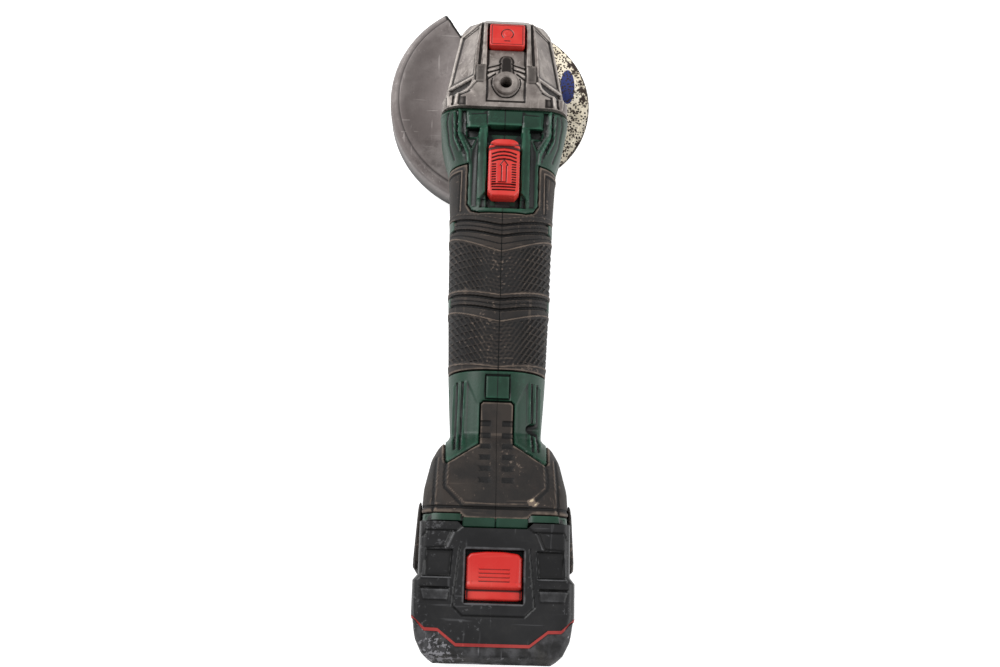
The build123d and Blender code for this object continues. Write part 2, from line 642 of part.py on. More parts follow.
with BuildPart() as lock_pin:
    post(0, LOCK_PIN_Y, 46.8, BUTTON_Z[0], LOCK_PIN_R)
save(lock_pin, "lock_pin")
save(coil((0, LOCK_PIN_Y, 73.1), (0, 0, 1), 3.1, 0.7, 7.8, 3.5), "lock_spring")

# ---------------------------------------------------------------- slide switch
with BuildPart() as switch_knob:
    rear, front = KNOB_Y
    crest = front - 7.5
    with BuildSketch(Plane.YZ.offset(-KNOB_HALF_X)):
        with BuildLine():
            Polyline((front, TRACK_FLOOR_Z + GAP), (front, KNOB_TOP_Z - 5.5), (crest + 2, KNOB_TOP_Z))
            Line((crest + 2, KNOB_TOP_Z), (crest - 1, KNOB_TOP_Z))
            ThreePointArc((crest - 1, KNOB_TOP_Z), ((crest + rear) / 2, KNOB_TOP_Z - 3), (rear + 3, KNOB_TOP_Z - 1))
            Polyline((rear + 3, KNOB_TOP_Z - 1), (rear, KNOB_TOP_Z - 3), (rear, TRACK_FLOOR_Z + GAP),
                     (front, TRACK_FLOOR_Z + GAP))
        make_face()
    extrude(amount=2 * KNOB_HALF_X)
    chamfer(switch_knob.edges().filter_by(Axis.Z).group_by(Axis.Y)[0], 2.5)
    block((-4.2, rear + 9, ROD_Z[1]), (4.2, rear + 17, TRACK_FLOOR_Z + 1))
save(switch_knob, "switch_knob")

with BuildPart() as switch_rod:
    block((-4, -186, ROD_Z[0]), (4, rear + 18, ROD_Z[1]))
    block((-4, -186, 68), (4, -183.2, ROD_Z[1]))
save(switch_rod, "switch_rod")
save(coil((0, BELL_Y[0] - 0.2, SWITCH_SPRING_Z), (0, -1, 0), 2.0, 0.8, 27.2, 9), "switch_spring")

with BuildPart() as switch_block:
    block((-9, -216, 50), (9, -190, 72.6))
    block((-2, -190, SWITCH_SPRING_Z - 2), (2, -186.3, SWITCH_SPRING_Z + 2))
save(switch_block, "switch_block")

with BuildPart() as control_board:
    block((-17, -234, 44), (17, -172, 45.6))
    for x, y, size, tall in ((-9, -180, 12, 2.2), (8, -184, 9, 1.6), (0, -198, 14, 3.4), (-8, -214, 10, 2)):
        block((x - size / 2, y - size / 2, 45.6), (x + size / 2, y + size / 2, 45.6 + tall))
save(control_board, "control_board")

# ---------------------------------------------------------------- contacts in the rail
BLADE_HALF = 0.4
with BuildPart() as terminal_block:
    block((-13, RAIL_FLANGE[1] + 0.4, BLADE_Z[0] - 4), (13, -268, BLADE_Z[1] + 4))
    for x in BLADE_X:
        block((x - BLADE_HALF, -290, BLADE_Z[0]), (x + BLADE_HALF, -260, BLADE_Z[1]), mode=Mode.SUBTRACT)
save(terminal_block, "terminal_block")

with BuildPart() as terminal_blades:
    for x in BLADE_X:
        block((x - BLADE_HALF, -289.5, BLADE_Z[0]), (x + BLADE_HALF, -265, BLADE_Z[1]))
save(terminal_blades, "terminal_blades")

# ---------------------------------------------------------------- battery pack
SEAM_LINE = SEAM + [(-x, y) for x, y in reversed(SEAM)]


def pack_solid(inset):
    """The battery pack's outside, taken in by inset on every side."""
    outline = PACK_OUTLINE + [(-x, y) for x, y in reversed(PACK_OUTLINE)]
    with BuildPart() as solid:
        with BuildSketch(Plane.XY.offset(FLOOR_Z)):
            Polygon(*outline, align=None)
        extrude(amount=PACK_TOP_Z - FLOOR_Z)
        chamfer(solid.faces().sort_by(Axis.Z)[-1].edges(), 4.0)
        chamfer(solid.faces().sort_by(Axis.Z)[0].edges(), 2.0)
        if inset:
            offset(amount=-inset)
    return solid.part


def behind_seam(shift):
    """Everything rearwards of the seam, moved back by shift."""
    with BuildPart() as region:
        with BuildSketch(Plane.XY.offset(FLOOR_Z - 5)):
            points = [(x, y - shift) for x, y in SEAM_LINE]
            Polygon(*points, (-45, -360), (45, -360), align=None)
        extrude(amount=PACK_TOP_Z - FLOOR_Z + 10)
    return region.part


with BuildPart() as pack_hollow:
    block((-33.2, -334, FLOOR_Z + 2.4), (33.2, -292, 97.2))
    block((-37.2, -320, 14), (37.2, -304, 94))
    neck_x, neck_y = RAIL_NECK[0] + 0.4, RAIL_NECK[1] + GAP
    block((-neck_x, neck_y - 0.01, FLOOR_Z - 1), (neck_x, -270, RAIL_Z[1] + 0.4))
    block((-neck_x, TONGUE_Y - 0.4, 90), (neck_x, -270, PACK_TOP_Z + 1))
    flange_x, flange_y = RAIL_FLANGE[0] + 0.4, RAIL_FLANGE[1] - 0.4
    block((-flange_x, flange_y, FLOOR_Z - 1), (flange_x, neck_y, RAIL_Z[1] + 0.4))
    for x in BLADE_X:
        block((x - 1, -290.4, FLOOR_Z - 1), (x + 1, flange_y + 1, BLADE_Z[1] + 10))
    # well of the latch button, with the window of its hook
    block((-LATCH_HALF_X - GAP, LATCH_Y[0] - LATCH_TRAVEL - GAP, 96), (LATCH_HALF_X + GAP, LATCH_Y[1] + GAP, 120))
    block((-8.3, -296, 93.7), (8.3, flange_y + 1, 98))
    for x, z in PACK_SCREWS:
        bar((x, z), -331, -308, 1.2 + RUN)
        bar((x, z), -345, -331, 2.1)

with BuildPart() as pack_body:
    add(pack_solid(0))
    add(pack_hollow.part, mode=Mode.SUBTRACT)

with BuildPart() as battery_front_shell:
    add(pack_body.part)
    add(behind_seam(0), mode=Mode.SUBTRACT)
save(battery_front_shell, "battery_front_shell")

with BuildPart() as battery_rear_shell:
    add(pack_body.part)
    add(behind_seam(TRIM), mode=Mode.INTERSECT)
save(battery_rear_shell, "battery_rear_shell")

with BuildPart() as battery_trim:
    add(pack_body.part)
    add(behind_seam(0), mode=Mode.INTERSECT)
    add(behind_seam(TRIM), mode=Mode.SUBTRACT)
save(battery_trim, "battery_trim")

with BuildPart() as battery_cells:
    for y in CELL_Y:
        for z in CELL_Z:
            with Locations(Location((0, y, z), (0, 90, 0))):
                Cylinder(CELL_R, CELL_LENGTH)
save(battery_cells, "battery_cells")

with BuildPart() as cell_holders:
    for side in (-1, 1):
        block((side * 27 - 2.5, -333, FLOOR_Z + 2.6), (side * 27 + 2.5, -292.6, 94.9))
    for y in CELL_Y:
        for z in CELL_Z:
            with Locations(Location((0, y, z), (0, 90, 0))):
                Cylinder(CELL_R + 0.05, 100, mode=Mode.SUBTRACT)
save(cell_holders, "cell_holders")

with BuildPart() as cell_links:
    for side in (-1, 1):
        for z in CELL_Z:
            x = side * (CELL_LENGTH / 2 + 0.2)
            block((x - 0.15, CELL_Y[1] - 4, z - 4), (x + 0.15, CELL_Y[0] + 4, z + 4))
save(cell_links, "cell_links")

with BuildPart() as battery_board:
    block((-30, -332, 95.1), (30, -316, 96.7))
save(battery_board, "battery_board")

with BuildPart() as battery_contacts:
    for x in BLADE_X:
        for side in (-1, 1):
            middle = x + side * (BLADE_HALF + 0.35)
            block((middle - 0.15, -290.2, BLADE_Z[0] + 2), (middle + 0.15, -286, BLADE_Z[1] - 2))
save(battery_contacts, "battery_contacts")

with BuildPart() as battery_screws:
    for x, z in PACK_SCREWS:
        bar((x, z), -331, -309, 1.2)
        bar((x, z), -333, -331, 2.0)
save(battery_screws, "battery_screws")

with BuildPart() as battery_latch:
    rear, front = LATCH_Y
    with BuildSketch(Plane.YZ.offset(-LATCH_HALF_X)):
        with BuildLine():
            Polyline((rear, LATCH_Z[0]), (rear, LATCH_Z[1] - 1.5), (rear + 3, LATCH_Z[1] - 1), (rear + 6, LATCH_Z[1] - 5))
            Line((rear + 6, LATCH_Z[1] - 5), (rear + 8.5, LATCH_Z[1]))
            Polyline((rear + 8.5, LATCH_Z[1]), (front, LATCH_Z[1]), (front, LATCH_Z[0]), (rear, LATCH_Z[0]))
        make_face()
    extrude(amount=2 * LATCH_HALF_X)
    block((-8, front - 6, 94), (8, RAIL_FLANGE[1] - 0.4, 97.6))
    bar((0, 101.5), rear - 1, rear + 12, 2.6, mode=Mode.SUBTRACT)
save(battery_latch, "battery_latch")
save(coil((0, LATCH_Y[0] + 11.9, 101.5), (0, -1, 0), 1.9, 0.6, 14.0, 6), "latch_spring")
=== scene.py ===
"""Looks of a battery angle grinder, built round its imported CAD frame."""

import json
import logging
import math
from collections.abc import Callable, Sequence
from dataclasses import dataclass, field
from enum import Enum

import bmesh
import bpy
import numpy as np
from mathutils import Matrix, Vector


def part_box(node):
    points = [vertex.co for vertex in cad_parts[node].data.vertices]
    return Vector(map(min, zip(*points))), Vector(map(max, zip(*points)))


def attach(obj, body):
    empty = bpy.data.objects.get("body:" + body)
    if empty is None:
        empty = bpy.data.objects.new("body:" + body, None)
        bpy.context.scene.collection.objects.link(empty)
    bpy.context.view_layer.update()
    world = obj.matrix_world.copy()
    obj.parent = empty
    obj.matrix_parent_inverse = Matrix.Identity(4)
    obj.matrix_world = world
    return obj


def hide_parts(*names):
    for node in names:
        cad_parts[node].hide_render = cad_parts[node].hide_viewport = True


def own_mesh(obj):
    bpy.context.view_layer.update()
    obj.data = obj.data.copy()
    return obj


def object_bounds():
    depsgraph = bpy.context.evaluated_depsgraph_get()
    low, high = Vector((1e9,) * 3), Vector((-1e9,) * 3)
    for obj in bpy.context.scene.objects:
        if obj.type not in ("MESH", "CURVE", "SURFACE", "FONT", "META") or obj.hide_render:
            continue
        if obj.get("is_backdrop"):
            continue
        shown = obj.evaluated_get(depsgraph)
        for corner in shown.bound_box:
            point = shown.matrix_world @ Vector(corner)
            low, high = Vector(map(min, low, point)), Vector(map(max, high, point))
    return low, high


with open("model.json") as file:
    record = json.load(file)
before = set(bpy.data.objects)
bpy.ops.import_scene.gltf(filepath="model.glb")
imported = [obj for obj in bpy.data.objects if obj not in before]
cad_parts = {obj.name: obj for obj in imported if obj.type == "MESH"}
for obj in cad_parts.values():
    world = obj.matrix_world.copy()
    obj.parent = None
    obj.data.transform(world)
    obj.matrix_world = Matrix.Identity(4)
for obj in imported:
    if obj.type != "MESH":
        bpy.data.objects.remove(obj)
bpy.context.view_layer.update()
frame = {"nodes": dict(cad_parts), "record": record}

log = logging.getLogger("grinder")
MM = 0.001
Points = Sequence[tuple[float, float]]
Array = np.ndarray


# ------------------------------------------------------------------ shapes
def smooth(low: float, high: float, value: Array) -> Array:
    """A soft step from 0 at low to 1 at high."""
    t = np.clip((value - low) / (high - low), 0.0, 1.0)
    return t * t * (3 - 2 * t)


def spans(*runs: tuple[float, float, float]) -> Array:
    """Grid lines over joined runs.

    Args:
        runs: each run's start, end and the step between its lines, in mm.

    Returns:
        The lines in order, with no line twice.
    """
    lines = [np.linspace(a, b, max(2, round(abs(b - a) / step) + 1))[:-1] for a, b, step in runs]
    return np.concatenate([*lines, [runs[-1][1]]])


def distance(points: Points, x: Array, y: Array, closed: bool = True) -> Array:
    """Distance to an outline, negative inside a closed one.

    Args:
        points: the outline's corners, in mm.
        x: across the part.
        y: along the part.
        closed: False for an open line.

    Returns:
        One distance for each place, in mm.
    """
    corners = list(points) + ([points[0]] if closed else [])
    nearest = np.full(x.shape, 1e9)
    within = np.zeros(x.shape, bool)
    for (ax, ay), (bx, by) in zip(corners, corners[1:]):
        ex, ey = bx - ax, by - ay
        t = np.clip(((x - ax) * ex + (y - ay) * ey) / (ex * ex + ey * ey), 0, 1)
        nearest = np.minimum(nearest, np.hypot(x - ax - t * ex, y - ay - t * ey))
        if closed and ay != by:
            within ^= ((ay > y) != (by > y)) & (x < ex * (y - ay) / ey + ax)
    return np.where(within, -nearest, nearest)


def circle(x: float, y: float, radius: float, start: float = 0, sweep: float = 360) -> Points:
    """Points on a circle or an arc, in degrees from +X."""
    turns = np.radians(np.linspace(start, start + sweep, 37))
    return [(x + radius * math.cos(a), y + radius * math.sin(a)) for a in turns]


def rectangle(x0: float, x1: float, y0: float, y1: float) -> Points:
    """The corners of a rectangle."""
    return [(x0, y0), (x1, y0), (x1, y1), (x0, y1)]


@dataclass(frozen=True)
class Relief:
    """A raised or sunk patch, or a line where half_width is given, seen from above in mm."""

    outline: Points
    height: float
    edge: float = 0.6
    half_width: float = 0.0
    # tone shifts the colour: below zero painted shade in recesses and grooves, above zero painted highlight on ridges
    # and edges, except a large tone that marks a real chip
    tone: float = 0.0

    def cover(self, x: Array, y: Array) -> Array:
        """How much of the patch lies at each place, from 0 to 1."""
        if self.half_width:
            off = distance(self.outline, x, y, closed=False) - self.half_width
        else:
            off = distance(self.outline, x, y)
        return 1 - smooth(-self.edge / 2, self.edge / 2, off)


def blurred(values: Array, reach: int) -> Array:
    """Values of a grid, averaged over reach lines each way."""
    for axis in (0, 1):
        pad = [(reach, reach) if k == axis else (0, 0) for k in (0, 1)]
        total = np.cumsum(np.pad(values, pad, mode="edge"), axis=axis)
        total = np.insert(total, 0, 0, axis=axis)
        width = 2 * reach + 1
        size = values.shape[axis]
        values = (np.take(total, range(width, width + size), axis) - np.take(total, range(size), axis)) / width
    return values


def wear_and_shading_of(height: Array, tone: Array, rub: float = 0.8) -> Array:
    """Dirt, scuffing and painted light from a surface's relief: below zero in grooves, as dirt and painted shade,
    above it on edges by rub, as scuffing and painted highlight.
    """
    proud = height - blurred(blurred(height, 2), 2)
    return np.clip(np.clip(proud * np.where(proud < 0, 3.4, rub), -1, 0.6) + tone, -1, 2.5)


def outward(points: Array, centre: Array) -> Array:
    """Unit normals of a grid of points that point away from centre."""
    rows, columns = np.gradient(points, axis=0), np.gradient(points, axis=1)
    normal = np.cross(rows, columns)
    normal /= np.linalg.norm(normal, axis=2, keepdims=True) + 1e-12
    away = np.sum(normal * (points - centre), axis=2).mean()
    return normal if away > 0 else -normal


@dataclass
class Body:
    """Mesh data in mm that grows piece by piece and becomes one object."""

    points: list[Array] = field(default_factory=list)
    faces: list[Sequence[int]] = field(default_factory=list)
    wear_and_shading: list[Array] = field(default_factory=list)
    count: int = 0

    def add(self, points: Array, faces: Sequence[Sequence[int]], wear_and_shading: Array | None = None) -> None:
        """Adds a closed mesh.

        Args:
            points: its places, in mm.
            faces: corner numbers of its faces, facing outwards.
            wear_and_shading: dirt, scuffing, painted shade and painted highlight at each place, or None for none.
        """
        self.points.append(points)
        self.faces += [[c + self.count for c in f] for f in faces]
        self.wear_and_shading.append(np.zeros(len(points)) if wear_and_shading is None else wear_and_shading)
        self.count += len(points)

    def skin(self, outer: Array, inner: Array, away: Array, wear_and_shading: Array, keep: Array | None = None) -> None:
        """Adds a grid as a closed wall.

        Args:
            outer: the grid of the shown face.
            inner: the grid of the hidden face.
            away: the outer face's normals.
            wear_and_shading: dirt, scuffing, painted shade and painted highlight on the outer face.
            keep: which cells are there, or None for all.
        """
        rows, columns = outer.shape[:2]
        number = np.arange(rows * columns).reshape(rows, columns)
        cells = np.stack([number[:-1, :-1], number[:-1, 1:], number[1:, 1:], number[1:, :-1]], -1)
        quads = cells.reshape(-1, 4) if keep is None else cells[keep]
        flat = outer.reshape(-1, 3)
        a, b, c = (flat[quads[:, k]] for k in (0, 1, 2))
        facing = np.sum(np.cross(b - a, c - a) * away.reshape(-1, 3)[quads[:, 0]])
        if facing < 0:
            quads = quads[:, ::-1]
        total = rows * columns
        starts = quads.ravel()
        ends = np.roll(quads, -1, axis=1).ravel()
        codes, back = starts * total + ends, ends * total + starts
        rim = ~np.isin(codes, back)
        walls = np.stack([ends[rim], starts[rim], starts[rim] + total, ends[rim] + total], -1)
        faces = np.concatenate([quads, quads[:, ::-1] + total, walls])
        used, renumbered = np.unique(faces, return_inverse=True)
        points = np.concatenate([flat, inner.reshape(-1, 3)])[used]
        tones = np.concatenate([wear_and_shading.ravel(), wear_and_shading.ravel() * 0])[used]
        self.add(points, renumbered.reshape(-1, 4).tolist(), tones)

    def brick(self, low: Sequence[float], high: Sequence[float], bevel: float = 0.6) -> None:
        """Adds a block with cut edges."""
        centre, half = (np.add(low, high)) / 2, (np.subtract(high, low)) / 2
        points = []
        for axis in range(3):
            for side in (-1, 1):
                for u, v in ((-1, -1), (1, -1), (1, 1), (-1, 1)):
                    p = np.zeros(3)
                    p[axis] = side * half[axis]
                    p[(axis + 1) % 3] = u * (half[(axis + 1) % 3] - bevel)
                    p[(axis + 2) % 3] = v * (half[(axis + 2) % 3] - bevel)
                    points.append(p + centre)
        self.hull(points)

    def hull(self, corners: Sequence[Array]) -> None:
        """Adds the closed convex shape round corners."""
        made = bmesh.new()
        for corner in corners:
            made.verts.new(corner)
        bmesh.ops.convex_hull(made, input=made.verts)
        bmesh.ops.delete(made, geom=[v for v in made.verts if not v.link_faces], context="VERTS")
        bmesh.ops.recalc_face_normals(made, faces=made.faces)
        made.verts.index_update()
        points = np.array([v.co for v in made.verts])
        faces = [[v.index for v in f.verts] for f in made.faces]
        made.free()
        self.add(points, faces)

    def turned(self, profile: Points, sides: int = 96, centre: Points = ((0.0, 0.0),), wear_and_shading: float = 0.0) -> None:
        """Adds a closed profile of (radius, z) turned about upright axes through centre."""
        ring = np.array(profile)
        turns = np.linspace(0, 2 * math.pi, sides, endpoint=False)
        n = len(ring)
        area = sum(a[0] * b[1] - b[0] * a[1] for a, b in zip(ring, np.roll(ring, -1, 0)))
        for cx, cy in centre:
            points = np.array([(cx + r * math.cos(t), cy + r * math.sin(t), z) for t in turns for r, z in ring])
            faces = []
            for i in range(sides):
                for k in range(n):
                    j, m = (i + 1) % sides, (k + 1) % n
                    quad = [i * n + k, j * n + k, j * n + m, i * n + m]
                    faces.append(quad[::-1] if area < 0 else quad)
            self.add(points, faces, np.full(len(points), wear_and_shading))

    def object(self, name: str, sharp_deg: float = 32) -> bpy.types.Object:
        """Makes the object, smooth but for edges sharper than sharp_deg."""
        mesh = bpy.data.meshes.new(name)
        mesh.from_pydata(np.concatenate(self.points) * MM, [], self.faces)
        mesh.validate()
        # this attribute carries dirt and scuffing, and painted shade in recesses and painted highlight on ridges as
        # well
        values = mesh.attributes.new("wear_and_shading", "FLOAT", "POINT")
        values.data.foreach_set("value", np.concatenate(self.wear_and_shading).astype(np.float32))
        mesh.polygons.foreach_set("use_smooth", np.ones(len(mesh.polygons), bool))
        mesh.set_sharp_from_angle(angle=math.radians(sharp_deg))
        made = bpy.data.objects.new(name, mesh)
        bpy.context.scene.collection.objects.link(made)
        return made


# ------------------------------------------------------------------ finishes
def linear(code: str) -> tuple[float, float, float, float]:
    """An sRGB hex colour as linear light."""
    parts = [int(code[k : k + 2], 16) / 255 for k in (1, 3, 5)]
    r, g, b = (c / 12.92 if c <= 0.04045 else ((c + 0.055) / 1.055) ** 2.4 for c in parts)
    return r, g, b, 1.0


def add(tree: bpy.types.NodeTree, kind: str, inputs: dict | None = None, **settings: object) -> bpy.types.Node:
    """Adds a node.

    Args:
        tree: the tree that it goes in.
        kind: its type.
        inputs: a value, or a socket to link from, for each input's name or number.
        settings: its other properties.

    Returns:
        The node.
    """
    made = tree.nodes.new(kind)
    for name, value in settings.items():
        setattr(made, name, value)
    for name, value in (inputs or {}).items():
        if isinstance(value, bpy.types.NodeSocket):
            tree.links.new(value, made.inputs[name])
        else:
            made.inputs[name].default_value = value
    return made


@dataclass(frozen=True)
class Finish:
    """A moulded, cast or turned surface with dirt and painted shade in its grooves, and scuffing and painted highlight
    on its edges.
    """

    name: str
    base: str
    light: str
    # this colour fills grooves and recesses: dirt and painted shade
    grime_and_shade: str
    roughness: float = 0.5
    metallic: float = 0.0
    ior: float = 1.5
    grain_mm: float = 0.8
    bump: float = 0.25
    mottle_mm: float = 14.0
    mottle: float = 0.5
    dust: float = 0.0
    dust_colour: str = "#6f665c"
    scratches: float = 0.0
    specks: float = 0.0
    chip: str = ""

    def build(self) -> bpy.types.Material:
        """Makes the material: noise fields first, then a layer of colour from each."""
        material = bpy.data.materials.new(self.name)
        material.use_nodes = True
        tree = material.node_tree
        shader = tree.nodes["Principled BSDF"]
        place = add(tree, "ShaderNodeTexCoord").outputs["Object"]
        wear_and_shading = add(tree, "ShaderNodeAttribute", attribute_name="wear_and_shading").outputs["Fac"]
        field = {}
        for label, size_mm, detail, rough, stretch in (
            ("patches", self.mottle_mm, 5, 0.6, (1, 1, 1)),
            ("grain", self.grain_mm, 2, 0.6, (1, 1, 1)),
            ("broken", 3.0, 4, 0.6, (1, 1, 1)),
            ("settled", 7.0, 6, 0.75, (1, 1, 1)),
            ("long", 1.1, 2, 0.6, (0.06, 1, 1)),
            ("cross", 1.3, 2, 0.6, (1, 0.08, 1)),
            ("dots", 1.1, 3, 0.7, (1, 1, 1)),
            ("where", 20.0, 3, 0.6, (1, 1, 1)),
        ):
            at = add(tree, "ShaderNodeMapping", {"Vector": place, "Scale": stretch}).outputs[0]
            settings = {"Vector": at, "Scale": 0.5 / (size_mm * MM), "Detail": detail, "Roughness": rough}
            field[label] = add(tree, "ShaderNodeTexNoise", settings).outputs[0]
        products = (("worn", wear_and_shading, field["broken"]), ("sunk", wear_and_shading, -1.0), ("specks", field["dots"], field["where"]))
        for label, first, second in products:
            field[label] = add(tree, "ShaderNodeMath", {0: first, 1: second}, operation="MULTIPLY").outputs[0]
        colour = linear(self.base)
        for label, low, high, share, over in (
            ("patches", 0.36, 0.68, self.mottle, self.light),
            ("settled", 0.5, 0.72, self.dust, self.dust_colour),
            ("long", 0.66, 0.72, self.scratches, self.light),
            ("cross", 0.66, 0.72, self.scratches, self.light),
            ("specks", 0.33, 0.38, self.specks, self.light),
            # worn lays the light colour on scuffed edges and painted highlights, sunk lays the dark colour as dirt and
            # painted shade in grooves and recesses
            ("worn", 0.08, 0.42, 1.0, self.light),
            ("sunk", 0.04, 0.5, 1.0, self.grime_and_shade),
            ("worn", 0.95, 1.15, 1.0 if self.chip else 0.0, self.chip or self.light),
        ):
            if share:
                stretched = {0: field[label], 1: low, 2: high, 4: share}
                amount = add(tree, "ShaderNodeMapRange", stretched, interpolation_type="SMOOTHSTEP").outputs[0]
                pair = {0: amount, 6: colour, 7: linear(over)}
                colour = add(tree, "ShaderNodeMix", pair, data_type="RGBA").outputs[2]
        tree.links.new(colour, shader.inputs["Base Color"])
        ends = {0: field["patches"], 3: self.roughness - 0.08, 4: self.roughness + 0.1}
        tree.links.new(add(tree, "ShaderNodeMapRange", ends).outputs[0], shader.inputs["Roughness"])
        shader.inputs["Metallic"].default_value = self.metallic
        if not self.metallic:
            shader.inputs["IOR"].default_value = self.ior
        bump = {"Strength": self.bump, "Distance": 0.0002, "Height": field["grain"]}
        tree.links.new(add(tree, "ShaderNodeBump", bump).outputs[0], shader.inputs["Normal"])
        return material


@dataclass(frozen=True)
class AbrasiveFinish:
    """Resin-bonded grit behind a worn paper label: dark speckle on off-white, with a printed patch."""

    name: str
    label_r: float
    patch: tuple[float, float]

    def build(self) -> bpy.types.Material:
        """Makes the material: paper, print, wear and the bare grit round the label."""
        material = bpy.data.materials.new(self.name)
        material.use_nodes = True
        tree = material.node_tree
        shader = tree.nodes["Principled BSDF"]
        place = add(tree, "ShaderNodeTexCoord").outputs["Object"]
        flat = add(tree, "ShaderNodeVectorMath", {0: place, 1: (1, 1, 0)}, operation="MULTIPLY").outputs[0]
        radius = add(tree, "ShaderNodeVectorMath", {0: flat}, operation="LENGTH").outputs["Value"]
        cells = add(tree, "ShaderNodeTexVoronoi", {"Vector": place, "Scale": 1 / (1.6 * MM)}).outputs["Distance"]
        field = {"weave": cells}
        for label, size_mm, detail in (("frayed", 3.0, 3), ("rubbed", 2.4, 4), ("aged", 9.0, 3), ("grit", 0.9, 2)):
            settings = {"Vector": place, "Scale": 0.5 / (size_mm * MM), "Detail": detail, "Roughness": 0.6}
            field[label] = add(tree, "ShaderNodeTexNoise", settings).outputs[0]
        edge = {0: field["frayed"], 1: 0.004, 2: radius}
        field["bare"] = add(tree, "ShaderNodeMath", edge, operation="MULTIPLY_ADD").outputs[0]
        centre = (self.patch[0] * MM, self.patch[1] * MM, 0)
        offset = add(tree, "ShaderNodeVectorMath", {0: flat, 1: centre}, operation="SUBTRACT").outputs[0]
        turn = {0: offset, "Rotation": (0, 0, math.radians(-22)), "Scale": (2.6, 1, 1)}
        oval = add(tree, "ShaderNodeMapping", turn).outputs[0]
        field["print"] = add(tree, "ShaderNodeVectorMath", {0: oval}, operation="LENGTH").outputs["Value"]
        outer = self.label_r * MM
        share = {}
        for label, low, high in (
            ("weave", 0.46, 0.34),
            ("rubbed", 0.52, 0.6),
            ("aged", 0.3, 0.7),
            ("print", 0.0125, 0.0115),
            ("bare", outer + 0.0014, outer + 0.0022),
            ("grit", 0.4, 0.6),
        ):
            stretched = {0: field[label], 1: low, 2: high}
            share[label] = add(tree, "ShaderNodeMapRange", stretched, interpolation_type="SMOOTHSTEP").outputs[0]
        spots = {0: share["weave"], 1: share["rubbed"]}
        share["spots"] = add(tree, "ShaderNodeMath", spots, operation="MAXIMUM").outputs[0]
        flecks = {0: share["bare"], 1: share["grit"]}
        share["flecks"] = add(tree, "ShaderNodeMath", flecks, operation="MULTIPLY").outputs[0]
        colour = linear("#d9cdb4")
        layers = (("aged", "#efe6d2"), ("print", "#27336b"), ("spots", "#2c2019"), ("bare", "#17120f"), ("flecks", "#4a3f36"))
        for label, over in layers:
            pair = {0: share[label], 6: colour, 7: linear(over)}
            colour = add(tree, "ShaderNodeMix", pair, data_type="RGBA").outputs[2]
        tree.links.new(colour, shader.inputs["Base Color"])
        shader.inputs["Roughness"].default_value = 0.85
        shader.inputs["IOR"].default_value = 1.5
        bump = {"Strength": 0.7, "Distance": 0.0004, "Height": field["grit"]}
        tree.links.new(add(tree, "ShaderNodeBump", bump).outputs[0], shader.inputs["Normal"])
        return material


